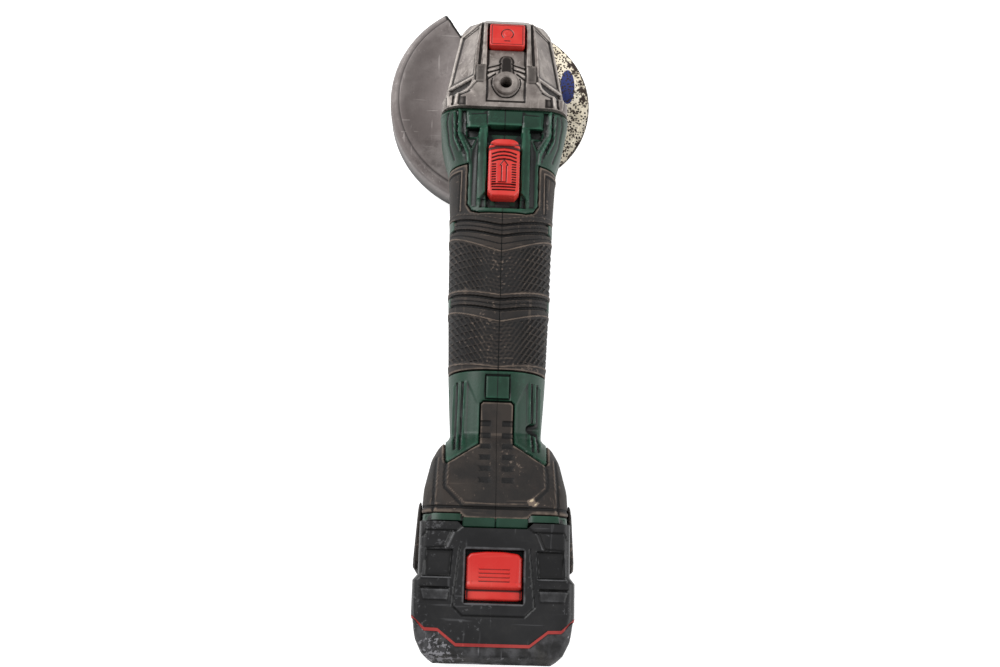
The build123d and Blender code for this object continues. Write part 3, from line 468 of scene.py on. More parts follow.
class Surface(Enum):
    """The finishes of the grinder's pieces."""

    # glass-filled nylon, moulded: deep green, satin, scuffed paler on its edges, with painted highlight on ridges and
    # painted shade in recesses
    GREEN = Finish("moulded_green_nylon", "#07291b", "#1f4a38", "#010503", 0.46, ior=1.42, mottle=0.26, dust=0.16, dust_colour="#1d3a2e", scratches=0.1, specks=0.3)
    # thermoplastic rubber over the handle: black-brown, dull, filled with workshop dust
    RUBBER = Finish("overmoulded_rubber", "#120e0c", "#63564c", "#020101", 0.72, ior=1.42, grain_mm=0.6, bump=0.4, mottle=0.14, mottle_mm=9, dust=0.5, dust_colour="#2c231e", scratches=0.3, specks=0.7, chip="#b9a98d")
    # pressure die-cast aluminium: warm grey with brown grinding dust, and dark corners of dirt and painted shade
    CAST = Finish("die_cast_aluminium", "#6c6460", "#b0a8a1", "#150e0a", 0.55, 0.4, bump=0.4, mottle=0.5, mottle_mm=6, dust=0.75, dust_colour="#453a32", scratches=0.25, specks=0.5)
    # ABS, moulded: warm signal red, satin
    RED = Finish("moulded_red_abs", "#b91d17", "#d9574a", "#3a0705", 0.42, mottle=0.3, grain_mm=0.5, bump=0.15, dust=0.12, dust_colour="#8c2a22", scratches=0.12)
    # the same ABS in a darker red, as a thin strip
    TRIM = Finish("moulded_dark_red_abs", "#7d1413", "#b0413a", "#2a0504", 0.45, grain_mm=0.5, bump=0.15, dust=0.3, dust_colour="#4a211d", specks=0.4)
    # pressed steel sheet, ground and dusty: grey with long scratches
    GUARD = Finish("pressed_guard_steel", "#6a6260", "#a8a19e", "#171211", 0.5, 0.4, mottle_mm=24, mottle=0.6, dust=0.6, dust_colour="#4b4341", scratches=0.5, specks=0.4)
    # turned bearing and gear steel: bright, lightly oiled
    STEEL = Finish("turned_steel", "#8f9093", "#c4c4c6", "#2c2c2e", 0.32, 0.9, grain_mm=0.4, bump=0.1, mottle=0.4, scratches=0.2)
    # blackened screw and spring steel
    DARK_STEEL = Finish("blackened_steel", "#2c2c2e", "#58585a", "#0c0c0d", 0.42, 0.8, grain_mm=0.4, bump=0.1)
    # ABS of the battery pack: near black, scuffed grey
    BLACK = Finish("moulded_black_abs", "#08080a", "#505052", "#010102", 0.46, ior=1.42, bump=0.3, mottle=0.07, dust=0.35, dust_colour="#2c2a27", scratches=0.35, specks=0.6)
    # coarse-eroded ABS of the pack's lower shell: dark grey with white specks of wear
    SCUFFED = Finish("eroded_grey_abs", "#0d0d0e", "#77767a", "#030303", 0.58, ior=1.42, grain_mm=0.9, bump=0.5, mottle_mm=3, mottle=0.22, dust=0.7, dust_colour="#33312d", scratches=0.5, specks=0.9)
    GREY = Finish("moulded_grey_nylon", "#55575a", "#7b7d80", "#1b1c1d", 0.5)
    # enamelled winding wire and contact copper
    COPPER = Finish("enamelled_copper", "#9c4f26", "#d98a54", "#3c1a0a", 0.35, 0.85, grain_mm=0.5, bump=0.5)
    LAMINATION = Finish("stacked_lamination", "#5f5d5b", "#8a8784", "#1e1c1b", 0.45, 0.8, grain_mm=0.5, bump=0.4)
    FERRITE = Finish("sintered_ferrite", "#2b2927", "#43403d", "#100f0e", 0.7, grain_mm=0.7)
    CARBON = Finish("pressed_carbon", "#191817", "#32302e", "#080808", 0.6, grain_mm=0.5)
    CIRCUIT = Finish("glass_epoxy_board", "#0f4a33", "#1f6f4e", "#072217", 0.4, grain_mm=0.6, mottle_mm=5)
    WRAP = Finish("shrunk_cell_wrap", "#245a8f", "#3c7ab3", "#0e2740", 0.35, grain_mm=2.0)
    ABRASIVE = AbrasiveFinish("resin_bonded_abrasive", 55.0, (41.5, 14.0))

    def material(self) -> bpy.types.Material:
        """The finish's material, made once."""
        return bpy.data.materials.get(self.value.name) or self.value.build()


SLOT_FINISH = {
    "green_plastic": Surface.GREEN,
    "black_rubber": Surface.RUBBER,
    "cast_alloy": Surface.CAST,
    "red_plastic": Surface.RED,
    "red_trim": Surface.TRIM,
    "guard_steel": Surface.GUARD,
    "abrasive": Surface.ABRASIVE,
    "steel": Surface.STEEL,
    "dark_steel": Surface.DARK_STEEL,
    "black_plastic": Surface.BLACK,
    "grey_plastic": Surface.GREY,
    "copper": Surface.COPPER,
    "lamination": Surface.LAMINATION,
    "ferrite": Surface.FERRITE,
    "carbon": Surface.CARBON,
    "circuit": Surface.CIRCUIT,
    "cell_wrap": Surface.WRAP,
}


def dress(piece: bpy.types.Object, surface: Surface, body: str, slot: str, *nodes: str) -> None:
    """Finishes a piece and ties it to the frame.

    Args:
        piece: the made object.
        surface: its finish.
        body: the CAD body that it moves with.
        slot: the record's material slot; not used.
        nodes: the CAD nodes that it stands for.
    """
    if not piece.data.materials:
        piece.data.materials.append(surface.material())
    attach(piece, body)
    if nodes:
        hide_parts(*nodes)
    log.info("%s: %d faces on %s", piece.name, len(piece.data.polygons), body)


# ------------------------------------------------------------------ node trees
@dataclass(frozen=True)
class RowOfRibs:
    """Round-topped ribs side by side in a row, made with Geometry Nodes."""

    start: tuple[float, float, float]
    step: tuple[float, float, float]
    count: int
    length: float
    radius: float
    turn_deg: float = 0.0
    bend: float = 0.0

    def build(self, name: str, surface: Surface) -> bpy.types.Object:
        """Makes the ribs as one plain mesh."""
        tree = bpy.data.node_groups.new(name, "GeometryNodeTree")
        tree.interface.new_socket("Geometry", in_out="OUTPUT", socket_type="NodeSocketGeometry")
        sizes = {
            "Count": ("NodeSocketInt", self.count),
            "Start": ("NodeSocketVector", tuple(v * MM for v in self.start)),
            "Step": ("NodeSocketVector", tuple(v * MM for v in self.step)),
            "Length": ("NodeSocketFloat", self.length * MM),
            "Radius": ("NodeSocketFloat", self.radius * MM),
            "Bend": ("NodeSocketFloat", self.bend * MM),
        }
        keys = {}
        for label, (kind, _) in sizes.items():
            keys[label] = tree.interface.new_socket(label, in_out="INPUT", socket_type=kind).identifier
        given = add(tree, "NodeGroupInput").outputs
        row = add(tree, "GeometryNodeMeshLine", {"Count": given["Count"], "Start Location": given["Start"], "Offset": given["Step"]})
        half = add(tree, "ShaderNodeMath", {0: given["Length"], 1: 0.5}, operation="MULTIPLY").outputs[0]
        minus = add(tree, "ShaderNodeMath", {0: half, 1: -1.0}, operation="MULTIPLY").outputs[0]
        ends = [add(tree, "ShaderNodeCombineXYZ", {"X": v}).outputs[0] for v in (minus, half)]
        middle = add(tree, "ShaderNodeCombineXYZ", {"Y": given["Bend"]}).outputs[0]
        line = add(tree, "GeometryNodeCurveQuadraticBezier", {"Resolution": 10, "Start": ends[0], "Middle": middle, "End": ends[1]})
        ring = add(tree, "GeometryNodeCurvePrimitiveCircle", {"Resolution": 8, "Radius": given["Radius"]})
        rod = add(tree, "GeometryNodeCurveToMesh", {"Curve": line.outputs[0], "Profile Curve": ring.outputs[0], "Fill Caps": True})
        turn = (0.0, 0.0, math.radians(self.turn_deg))
        placed = add(tree, "GeometryNodeInstanceOnPoints", {"Points": row.outputs[0], "Instance": rod.outputs[0], "Rotation": turn})
        real = add(tree, "GeometryNodeRealizeInstances", {"Geometry": placed.outputs[0]})
        shown = add(tree, "GeometryNodeSetMaterial", {"Geometry": real.outputs[0], "Material": surface.material()})
        add(tree, "NodeGroupOutput", {0: shown.outputs[0]})
        return grown(name, tree, {keys[k]: v for k, (_, v) in sizes.items()})


@dataclass(frozen=True)
class SetOfScrews:
    """Pan-head screws with a star recess at given places, made with Geometry Nodes."""

    places: Sequence[tuple[float, float, float]]
    radius: float
    turn: tuple[float, float, float]

    def build(self, name: str, surface: Surface) -> bpy.types.Object:
        """Makes the screw heads as one plain mesh."""
        tree = bpy.data.node_groups.new(name, "GeometryNodeTree")
        tree.interface.new_socket("Geometry", in_out="OUTPUT", socket_type="NodeSocketGeometry")
        radius_key = tree.interface.new_socket("Radius", in_out="INPUT", socket_type="NodeSocketFloat").identifier
        given = add(tree, "NodeGroupInput").outputs
        heads = []
        for place in self.places:
            at = add(tree, "GeometryNodePoints", {"Count": 1, "Position": tuple(v * MM for v in place)})
            heads.append(at.outputs[0])
        joined = add(tree, "GeometryNodeJoinGeometry")
        for socket in heads:
            tree.links.new(socket, joined.inputs[0])
        deep = add(tree, "ShaderNodeMath", {0: given["Radius"], 1: 0.7}, operation="MULTIPLY").outputs[0]
        head = add(tree, "GeometryNodeMeshCylinder", {"Vertices": 32, "Radius": given["Radius"], "Depth": deep})
        small = add(tree, "ShaderNodeMath", {0: given["Radius"], 1: 0.55}, operation="MULTIPLY").outputs[0]
        star = add(tree, "GeometryNodeMeshCylinder", {"Vertices": 6, "Radius": small, "Depth": given["Radius"]})
        cut = add(tree, "GeometryNodeTransform", {"Geometry": star.outputs[0], "Translation": (0, 0, self.radius * MM * 0.6)})
        hollow = add(tree, "GeometryNodeMeshBoolean", {"Mesh 1": head.outputs[0], "Mesh 2": cut.outputs[0]}, operation="DIFFERENCE")
        placed = add(
            tree,
            "GeometryNodeInstanceOnPoints",
            {"Points": joined.outputs[0], "Instance": hollow.outputs[0], "Rotation": self.turn},
        )
        real = add(tree, "GeometryNodeRealizeInstances", {"Geometry": placed.outputs[0]})
        shown = add(tree, "GeometryNodeSetMaterial", {"Geometry": real.outputs[0], "Material": surface.material()})
        add(tree, "NodeGroupOutput", {0: shown.outputs[0]})
        return grown(name, tree, {radius_key: self.radius * MM})


@dataclass(frozen=True)
class Coil:
    """A compression spring of round wire along Z or -Y, made with Geometry Nodes."""

    seat: tuple[float, float, float]
    tilt_deg: float
    radius: float
    wire: float
    length: float
    turns: float

    def build(self, name: str, surface: Surface) -> bpy.types.Object:
        """Makes the spring as one plain mesh."""
        tree = bpy.data.node_groups.new(name, "GeometryNodeTree")
        tree.interface.new_socket("Geometry", in_out="OUTPUT", socket_type="NodeSocketGeometry")
        sizes = {"Radius": self.radius, "Wire": self.wire / 2, "Height": self.length - self.wire}
        keys = {}
        for label in sizes:
            keys[label] = tree.interface.new_socket(label, in_out="INPUT", socket_type="NodeSocketFloat").identifier
        given = add(tree, "NodeGroupInput").outputs
        around = {"Start Radius": given["Radius"], "End Radius": given["Radius"], "Height": given["Height"]}
        helix = add(tree, "GeometryNodeCurveSpiral", {"Resolution": 32, "Rotations": self.turns, **around})
        ring = add(tree, "GeometryNodeCurvePrimitiveCircle", {"Resolution": 10, "Radius": given["Wire"]})
        swept = {"Curve": helix.outputs[0], "Profile Curve": ring.outputs[0], "Fill Caps": True}
        wound = add(tree, "GeometryNodeCurveToMesh", swept)
        where = {"Translation": tuple(v * MM for v in self.seat), "Rotation": (math.radians(self.tilt_deg), 0, 0)}
        placed = add(tree, "GeometryNodeTransform", {"Geometry": wound.outputs[0], **where})
        real = add(tree, "GeometryNodeRealizeInstances", {"Geometry": placed.outputs[0]})
        shown = add(tree, "GeometryNodeSetMaterial", {"Geometry": real.outputs[0], "Material": surface.material()})
        add(tree, "NodeGroupOutput", {0: shown.outputs[0]})
        return grown(name, tree, {keys[k]: v * MM for k, v in sizes.items()})


def grown(name: str, tree: bpy.types.NodeTree, values: dict[str, object]) -> bpy.types.Object:
    """Runs a node tree and keeps its result as a plain mesh.

    Args:
        name: the object's name.
        tree: the Geometry Nodes tree.
        values: the modifier's inputs by socket identifier.

    Returns:
        The object, with no modifier left.
    """
    seed = bpy.data.objects.new(name, bpy.data.meshes.new(name))
    bpy.context.scene.collection.objects.link(seed)
    grower = seed.modifiers.new("grow", "NODES")
    grower.node_group = tree
    for key, value in values.items():
        grower[key] = value
    ready = seed.evaluated_get(bpy.context.evaluated_depsgraph_get())
    seed.data = bpy.data.meshes.new_from_object(ready)
    seed.data.name = name
    seed.modifiers.clear()
    seed.data.polygons.foreach_set("use_smooth", np.ones(len(seed.data.polygons), bool))
    seed.data.set_sharp_from_angle(angle=math.radians(35))
    return seed


# ------------------------------------------------------------------ handle
STATIONS = np.array(
    [
        (-29.0, 36.6, 25.0, 80.0, 13.0),
        (-36.0, 36.9, 24.5, 84.5, 14.0),
        (-45.0, 36.4, 24.0, 85.0, 16.0),
        (-54.0, 34.6, 24.0, 85.0, 18.0),
        (-67.0, 31.0, 24.5, 84.0, 20.0),
        (-98.0, 29.6, 24.8, 83.0, 24.0),
        (-145.0, 28.6, 25.4, 83.0, 25.0),
        (-190.0, 26.9, 27.0, 82.0, 22.0),
        (-226.0, 24.6, 28.0, 82.0, 18.0),
        (-232.0, 30.0, 21.0, 87.5, 15.0),
        (-240.0, 33.6, 14.0, 93.0, 14.0),
        (-257.0, 36.6, 1.0, 104.0, 12.0),
        (-274.0, 37.2, -1.0, 109.0, 10.0),
    ]
)[::-1]


def section(half: float, low: float, high: float, corner: float, shares: Array) -> Array:
    """Half of a rounded rectangle, from its top middle round to its bottom middle.

    Args:
        half: half its width.
        low: its lowest height.
        high: its highest height.
        corner: the radius of its corners.
        shares: how far along the outline each point lies, from 0 to 1.

    Returns:
        A row of (x, z) for each share.
    """
    bends = np.radians(np.linspace(0, 90, 19))
    upper = np.stack([half - corner + corner * np.sin(bends), high - corner + corner * np.cos(bends)], -1)
    lower = np.stack([half - corner + corner * np.cos(bends), low + corner - corner * np.sin(bends)], -1)
    line = np.concatenate([[(0, high)], upper, lower, [(0, low)]])
    along = np.concatenate([[0], np.cumsum(np.linalg.norm(np.diff(line, axis=0), axis=1))])
    return np.stack([np.interp(shares * along[-1], along, line[:, k]) for k in (0, 1)], -1)


@dataclass
class HandleSkin:
    """The handle's outer form as a grid, for one half of it."""

    lines: Array
    top_columns: int
    low_columns: int
    side: int
    seam: float = 0.02

    def __post_init__(self) -> None:
        """Lays the grid out: its places, its normals and how far round each place lies."""
        shares = np.concatenate([np.linspace(0, 0.5, self.top_columns), np.linspace(0.5, 1, self.low_columns)[1:]])
        rows = []
        for y in self.lines:
            near = [[np.interp(y + d, STATIONS[:, 0], STATIONS[:, k]) for k in range(1, 5)] for d in (-1.5, 0, 1.5)]
            half, low, high, corner = np.mean(near, axis=0)
            rows.append((section(half, low, high, corner, shares), half, (low + high) / 2))
        flat = np.array([r[0] for r in rows])
        self.half = np.array([r[1] for r in rows])[:, None]
        self.mid = np.array([r[2] for r in rows])[:, None]
        self.y = np.repeat(self.lines[:, None], len(shares), 1)
        self.x = flat[..., 0]
        self.z = flat[..., 1]
        self.round = np.where(self.z >= self.mid, self.x, 2 * self.half - self.x)
        self.points = np.stack([self.x, self.y, self.z], -1)
        centre = np.stack([self.x * 0, self.y, self.y * 0 + self.mid], -1)
        self.normal = outward(self.points, centre)

    def wall(self, body: Body, height: Array, tone: Array, thickness: float, keep: Array | None = None, pits: Array | None = None) -> None:
        """Adds the skin to body with a relief and a wall thickness."""
        outer = self.points + self.normal * height[..., None]
        if pits is not None:
            outer[..., 0] -= pits
        outer[..., 0] = np.maximum(outer[..., 0], self.seam)
        inner = outer - self.normal * thickness
        inner[..., 0] = np.maximum(inner[..., 0], self.seam)
        turn = np.array([self.side, 1, 1])
        body.skin(outer * turn, inner * turn, self.normal * turn, wear_and_shading_of(height, tone), keep)


def relief_of(reliefs: Sequence[Relief], x: Array, y: Array) -> tuple[Array, Array]:
    """The height and tone that a list of patches gives at each place."""
    height, tone = np.zeros(x.shape), np.zeros(x.shape)
    for patch in reliefs:
        cover = patch.cover(x, y)
        height += patch.height * cover
        tone += patch.tone * cover
    return height, tone


@dataclass
class Handle:
    """The two housing halves, the rubber grip over them and the rubber of the foot."""

    rubber: float = 1.8
    grip_zone: Points = ((20.0, -71.5), (90.0, -71.5), (90.0, -190.7), (-5.0, -190.7), (-5.0, -100.6), (13.5, -100.6), (17.5, -99.2), (20.0, -95.0))
    foot_zone: Points = (
        (-5.0, -207.6), (7.6, -207.6), (9.2, -209.2), (9.1, -231.0), (25.2, -242.6), (26.4, -241.5),
        (27.2, -227.4), (90.0, -226.6), (90.0, -270.0), (18.7, -270.0), (15.8, -273.0), (-5.0, -273.0),
    )
    # relief tones: painted shade in recesses, vents and grooves below zero, painted highlight on rails, fins and ribs
    # above zero
    housing_reliefs: Sequence[Relief] = (
        Relief(rectangle(-1, 9.7, -49.6, -37.5), 0.7, 0.9, tone=0.12),
        Relief([(10.4, -42.5), (20.5, -43.5), (20.5, -51.2), (10.4, -51.2)], 0.6, 0.9, tone=0.15),
        # vent outlets, darkened with painted shade inside them
        Relief([(14.2, -51.4), (21.6, -51.4), (21.6, -56.6), (15.4, -56.6)], -3.6, 0.8, tone=-0.6),
        Relief(rectangle(-1, 9.5, -98.0, -49.8), -4.4, 0.5, tone=-0.15),
        # painted shadow of the header over the front of the knob's slot
        Relief(rectangle(-1, 9.5, -53.0, -49.8), -2.0, 0.5, tone=-0.9),
        Relief(rectangle(9.7, 14.6, -93.0, -50.5), 0.7, 0.7, tone=0.16),
        Relief([(15.0, -57.0), (18.0, -64.0), (18.2, -97.0), (15.0, -97.0)], -0.8, 2.0, tone=-0.25),
        Relief([(9.6, -89.0), (12.6, -92.5), (12.8, -97.6), (9.4, -97.6)], -1.8, 0.8, tone=-0.4),
        Relief([(22.0, -37.5), (24.6, -38.5), (24.4, -53.5), (18.8, -63.0), (16.0, -57.6), (21.9, -57.0)], -1.5, 1.0, tone=-0.3),
        Relief([(26.0, -36.0), (25.8, -54.0), (20.4, -65.5), (19.8, -71.0)], 1.0, 0.8, 0.6, 0.3),
        Relief([(28.7, -40.0), (27.8, -56.0), (24.6, -63.0)], 0.9, 0.8, 0.5, 0.25),
        Relief([(27.2, -38.0), (26.8, -55.0), (22.4, -66.0)], -0.6, 0.8, 0.5, -0.25),
        Relief([(31.8, -36.0), (33.0, -46.0), (31.2, -58.0), (28.0, -67.0)], -0.5, 0.8, 0.4, -0.2),
        Relief(rectangle(-1, 6.0, -206.0, -194.0), 0.7, 0.5, tone=0.1),
        Relief([(6.5, -193.4), (6.5, -206.6), (-1, -206.6)], -0.5, 0.5, 0.35, -0.5),
        Relief([(-1, -193.4), (6.5, -193.4)], -0.5, 0.5, 0.35, -0.5),
        Relief([(17.4, -197.0), (17.9, -233.0)], 0.5, 0.5, 0.35, 0.3),
        Relief([(18.8, -197.0), (19.2, -235.0)], -0.8, 0.6, 0.5, -0.4),
        Relief([(20.4, -197.0), (20.6, -235.0)], 0.5, 0.5, 0.35, 0.3),
        Relief([(21.8, -197.0), (21.9, -235.0)], -0.8, 0.6, 0.5, -0.4),
        Relief([(23.4, -198.0), (23.3, -232.0)], 0.5, 0.5, 0.35, 0.3),
        Relief([(10.6, -209.0), (10.6, -230.0), (16.5, -235.0), (16.3, -196.5)], -0.25, 0.6, tone=0.1),
    )
    grip_lines: Sequence[tuple[float, float, float, float, float]] = (
        # middle y, rise at the sides, half width, height, tone: painted shade in the grooves below zero, painted
        # highlight on the raised lines above zero
        (-104.6, 6.0, 0.35, 0.25, 0.25),
        (-108.4, 6.4, 0.75, -1.3, -0.9),
        (-111.4, 6.6, 0.3, -0.35, -0.3),
        (-114.6, 7.0, 0.75, -1.3, -0.9),
        (-119.2, 9.0, 0.3, -0.3, -0.3),
        (-123.6, 12.0, 0.5, 0.35, 0.45),
        (-148.6, 5.2, 0.5, 0.35, 0.45),
        (-151.3, 5.5, 0.75, -1.3, -0.9),
        (-154.3, 5.7, 0.3, -0.35, -0.3),
        (-157.3, 6.0, 0.75, -1.3, -0.9),
        (-163.5, 9.0, 0.5, 0.35, 0.45),
        (-188.6, 3.3, 0.5, 0.3, 0.4),
    )
    grip_windows: Sequence[Points] = (
        [(27.0, -102.4), (31.0, -101.2), (60.0, -101.2), (60.0, -107.2), (31.0, -107.2), (27.0, -107.8)],
        [(27.5, -146.6), (31.0, -145.8), (60.0, -145.8), (60.0, -151.0), (31.0, -151.0), (27.5, -151.6)],
    )
    grip_bands: Sequence[tuple[float, float, float, float]] = ((-124.7, 12.0, -147.8, 5.2), (-164.6, 9.0, -187.8, 3.3))

    def rise(self, skin: HandleSkin) -> Array:
        """How far round the handle each place lies, from 0 at the middle to 1 at the sides and beyond."""
        share = np.clip(skin.round / 30.0, 0, 2)
        return np.minimum(share, 2 - share) ** 1.3

    def housing(self, side: int) -> bpy.types.Object:
        """Makes one green housing half."""
        lines = spans((-29.2, -36, 1.0), (-36, -102, 0.55), (-102, -153, 0.9), (-153, -189, 3.0), (-189, -245, 0.6), (-245, -268, 2.0), (-268, -273.7, 0.4))
        skin = HandleSkin(lines, 84, 34, side)
        height, tone = relief_of(self.housing_reliefs, skin.round, skin.y)
        body = Body()
        for zone in (self.grip_zone, self.foot_zone):
            off = distance(zone, skin.round, skin.y)
            for window in self.grip_windows:
                off = np.maximum(off, -distance(window, skin.round, skin.y) + 0.4)
            under = 1 - smooth(-0.1, 0.35, off)
            height = height * (1 - under) - (self.rubber + 0.15) * under
            tone = tone - 0.5 * (1 - smooth(0.1, 0.7, off))
        tone -= 0.7 * (1 - smooth(0.2, 0.5, skin.round))
        collar = smooth(-269.9, -270.4, skin.y)
        height = height * (1 - collar) - 0.2 * collar
        slant = smooth(15.8, 18.7, skin.round) * (1 - smooth(31.5, 32.5, skin.round))
        height += collar * (0.35 * slant - 0.6 * (1 - slant)) * (skin.z > skin.mid)
        pits = np.zeros(skin.x.shape)
        if side > 0:
            # the screw pits are darkened with painted shade inside them
            for y, z in ((-221.7, 76.0), (-221.7, 36.0)):
                pit = 1 - smooth(3.0, 3.6, np.hypot(skin.y - y, skin.z - z))
                pits += pit * np.maximum(skin.x - 15.2, 0)
                tone -= pit * 0.5
        # the vent slots are darkened with painted shade inside them
        for k in range(5):
            slot = (np.abs(skin.y + 211) < 12) * (1 - smooth(0.7, 1.3, np.abs(skin.z - 44.1 - 5 * k)))
            height -= 2.2 * slot
            tone -= 0.8 * slot
        high_up = smooth(58, 70, skin.z)
        front = smooth(-44.0, -29.2, skin.y)
        skin.points[..., 1] -= 7.6 * high_up * front
        skin.wall(body, height, tone, 1.6, pits=pits)
        low, high = (0.2, 16.5), (0.2, 20.5)
        pairs = (((*low[:1], -281, 6), (low[1], -272, 98)), ((*high[:1], -285, 6), (high[1], -280.8, 98)))
        for a, b in (*pairs, ((0.2, -277, 97), (16.2, -272, 108.8)), ((0.2, -273.6, 2), (35, -271, 104))):
            x0, x1 = sorted((a[0] * side, b[0] * side))
            body.brick((x0, a[1], a[2]), (x1, b[1], b[2]))
        return body.object("housing_skin_right" if side > 0 else "housing_skin_left")

    def grip(self, side: int) -> bpy.types.Object:
        """Makes one half of the rubber grip, with its bands, seams and diamond texture."""
        skin = HandleSkin(spans((-71.0, -101, 0.6), (-101, -191.3, 0.42)), 112, 44, side, 0.12)
        rise = self.rise(skin)
        height, tone = np.zeros(skin.x.shape), np.zeros(skin.x.shape)
        handle_part = smooth(-100.5, -101.5, skin.y)
        for middle, sides, half_width, deep, shade in self.grip_lines:
            off = np.abs(skin.y - middle - sides * rise)
            mark = (1 - smooth(half_width * 0.6, half_width * 1.3, off)) * np.maximum(handle_part, smooth(12, 18, skin.round) * (sides > 0))
            height += deep * mark
            tone += shade * mark
        for top, top_rise, foot, foot_rise in self.grip_bands:
            inside = smooth(0.2, 0.8, top + top_rise * rise - skin.y) * smooth(0.2, 0.8, skin.y - foot - foot_rise * rise)
            arc = skin.y - (top + foot) / 2 - (top_rise + foot_rise) / 2 * rise
            along = (skin.round * 1.3 - arc) / (2.4 * math.sqrt(2.69))
            across = (arc + 0.35 * skin.round) / 4.2
            pocket = smooth(-0.75, 0.1, np.cos(2 * math.pi * along))
            gate = smooth(0.04, 0.26, np.abs((across % 1) - 0.5) * 2)
            strong = 0.3 + 0.7 * smooth(5, 15, skin.round)
            # the diamond pockets and the bars are darkened with painted shade
            height -= 0.6 * inside * strong * pocket * gate
            tone -= 0.34 * inside * strong * pocket * gate
            bars = 1 - smooth(0.08, 0.3, np.abs((arc / 2.1) % 1 - 0.5))
            middle_part = 1 - smooth(5, 12, skin.round)
            height -= 0.12 * inside * bars * middle_part
            tone -= 0.3 * inside * bars * middle_part
        # the ridge is lightened with painted highlight, the groove darkened with painted shade
        ridge = Relief([(23.4, -98.0), (23.2, -75.0), (60.0, -74.0)], 0.55, 0.5, 0.35, 0.5).cover(skin.round, skin.y)
        groove = Relief([(24.4, -98.0), (24.2, -76.2), (60.0, -75.2)], 0.55, 0.5, 0.4, 0.5).cover(skin.round, skin.y)
        height += 0.5 * ridge - 0.5 * groove
        tone += 0.5 * ridge - 0.4 * groove
        off = distance(self.grip_zone, skin.round, skin.y)
        tone -= 0.5 * (1 - smooth(0.2, 0.5, skin.round))
        height -= 2.4 * smooth(-0.75, -0.1, off)
        tone += 0.12 * (1 - smooth(0.4, 0.8, np.abs(off + 1.0)))
        for window in self.grip_windows:
            hole = distance(window, skin.round, skin.y)
            height -= 2.4 * smooth(0.5, -0.1, hole)
            off = np.maximum(off, -hole)
        keep = off[:-1, :-1] < 0.6
        body = Body()
        skin.wall(body, height - 0.05, tone, 1.2, keep)
        return body.object("grip_skin_right" if side > 0 else "grip_skin_left")

    def foot(self, side: int) -> bpy.types.Object:
        """Makes one half of the foot's rubber cover, with its notched spine."""
        skin = HandleSkin(spans((-207.0, -273.4, 0.5)), 96, 50, side, 0.1)
        x, y = skin.round, skin.y
        # tones below zero paint shade into grooves and notches, tones above zero paint highlight on ridges; the large
        # tone on the right side marks a real chip
        marks = [
            Relief([(25.1, -233.0), (26.4, -250.4), (26.0, -256.8), (16.2, -266.8), (-1, -267.0)], -0.5, 0.9, 0.5, -0.4),
            Relief([(24.2, -236.0), (24.6, -256.0), (15.6, -264.6), (-1, -265.0)], 0.35, 0.5, 0.4, 0.25),
            Relief([(31.0, -240.0), (31.4, -252.0), (31.6, -271.0)], -0.6, 0.7, 0.5, -0.5),
            Relief([(29.6, -240.0), (30.0, -271.0)], 0.35, 0.5, 0.4, 0.25),
                Relief([(-1, -266.8), (90, -266.8)], -0.7, 0.7, 0.6, -0.5),
        ]
        for k in range(6):
            at = -219.6 - 6.5 * k
            marks.append(Relief(rectangle(3.4, 8.4, at - 1.2, at + 1.0), -0.7, 0.6, tone=-0.1))
            marks.append(Relief([(9.0, at + 1.2), (3.2, at + 1.2), (3.2, at - 1.4), (9.0, at - 1.4)], -0.3, 0.4, 0.25, -0.6))
        if side > 0:
            marks.append(Relief([(15.6, -262.6), (18.6, -261.6), (21.4, -264.0), (19.6, -265.6), (17.0, -265.0)], -0.15, 0.8, tone=2.4))
        height, tone = relief_of(marks, x, y)
        off = distance(self.foot_zone, x, y)
        height -= 2.4 * smooth(-0.75, -0.1, off)
        tone += 0.08 * (1 - smooth(0.4, 0.8, np.abs(off + 1.0)))
        keep = off[:-1, :-1] < 0.5
        body = Body()
        skin.wall(body, height - 0.05, tone, 1.2, keep)
        return body.object("foot_skin_right" if side > 0 else "foot_skin_left")

    def bumper(self, side: int) -> bpy.types.Object:
        """Makes one side bumper: a plate with cut corners that thickens towards the rear."""
        corners = []
        for inset, front_x, rear_x in ((0.0, 37.65, 37.65), (0.0, 38.1, 39.6), (1.2, 38.8, 40.6)):
            y0, y1, z0, z1 = -297.0 + inset, -263.5 - inset, 27.0 + inset, 95.0 - inset
            for end, inward in ((y0, 4.0), (y1, -4.0)):
                for y, z in ((end, z0 + 4), (end + inward, z0), (end + inward, z1), (end, z1 - 4)):
                    corners.append((side * np.interp(y, (y0, y1), (rear_x, front_x)), y, z))
        body = Body()
        body.hull(corners)
        return body.object("side_bumper_right" if side > 0 else "side_bumper_left")

    def build(self) -> None:
        """Makes and dresses the handle."""
        for side, name in ((-1, "left"), (1, "right")):
            dress(self.bumper(side), Surface.RUBBER, "tool_body", "black_rubber", f"bumper_{name}")
            dress(self.housing(side), Surface.GREEN, "tool_body", "green_plastic", f"housing_{name}")
            dress(self.grip(side), Surface.RUBBER, "tool_body", "black_rubber", f"grip_{name}")
            dress(self.foot(side), Surface.RUBBER, "tool_body", "black_rubber", f"foot_cover_{name}")


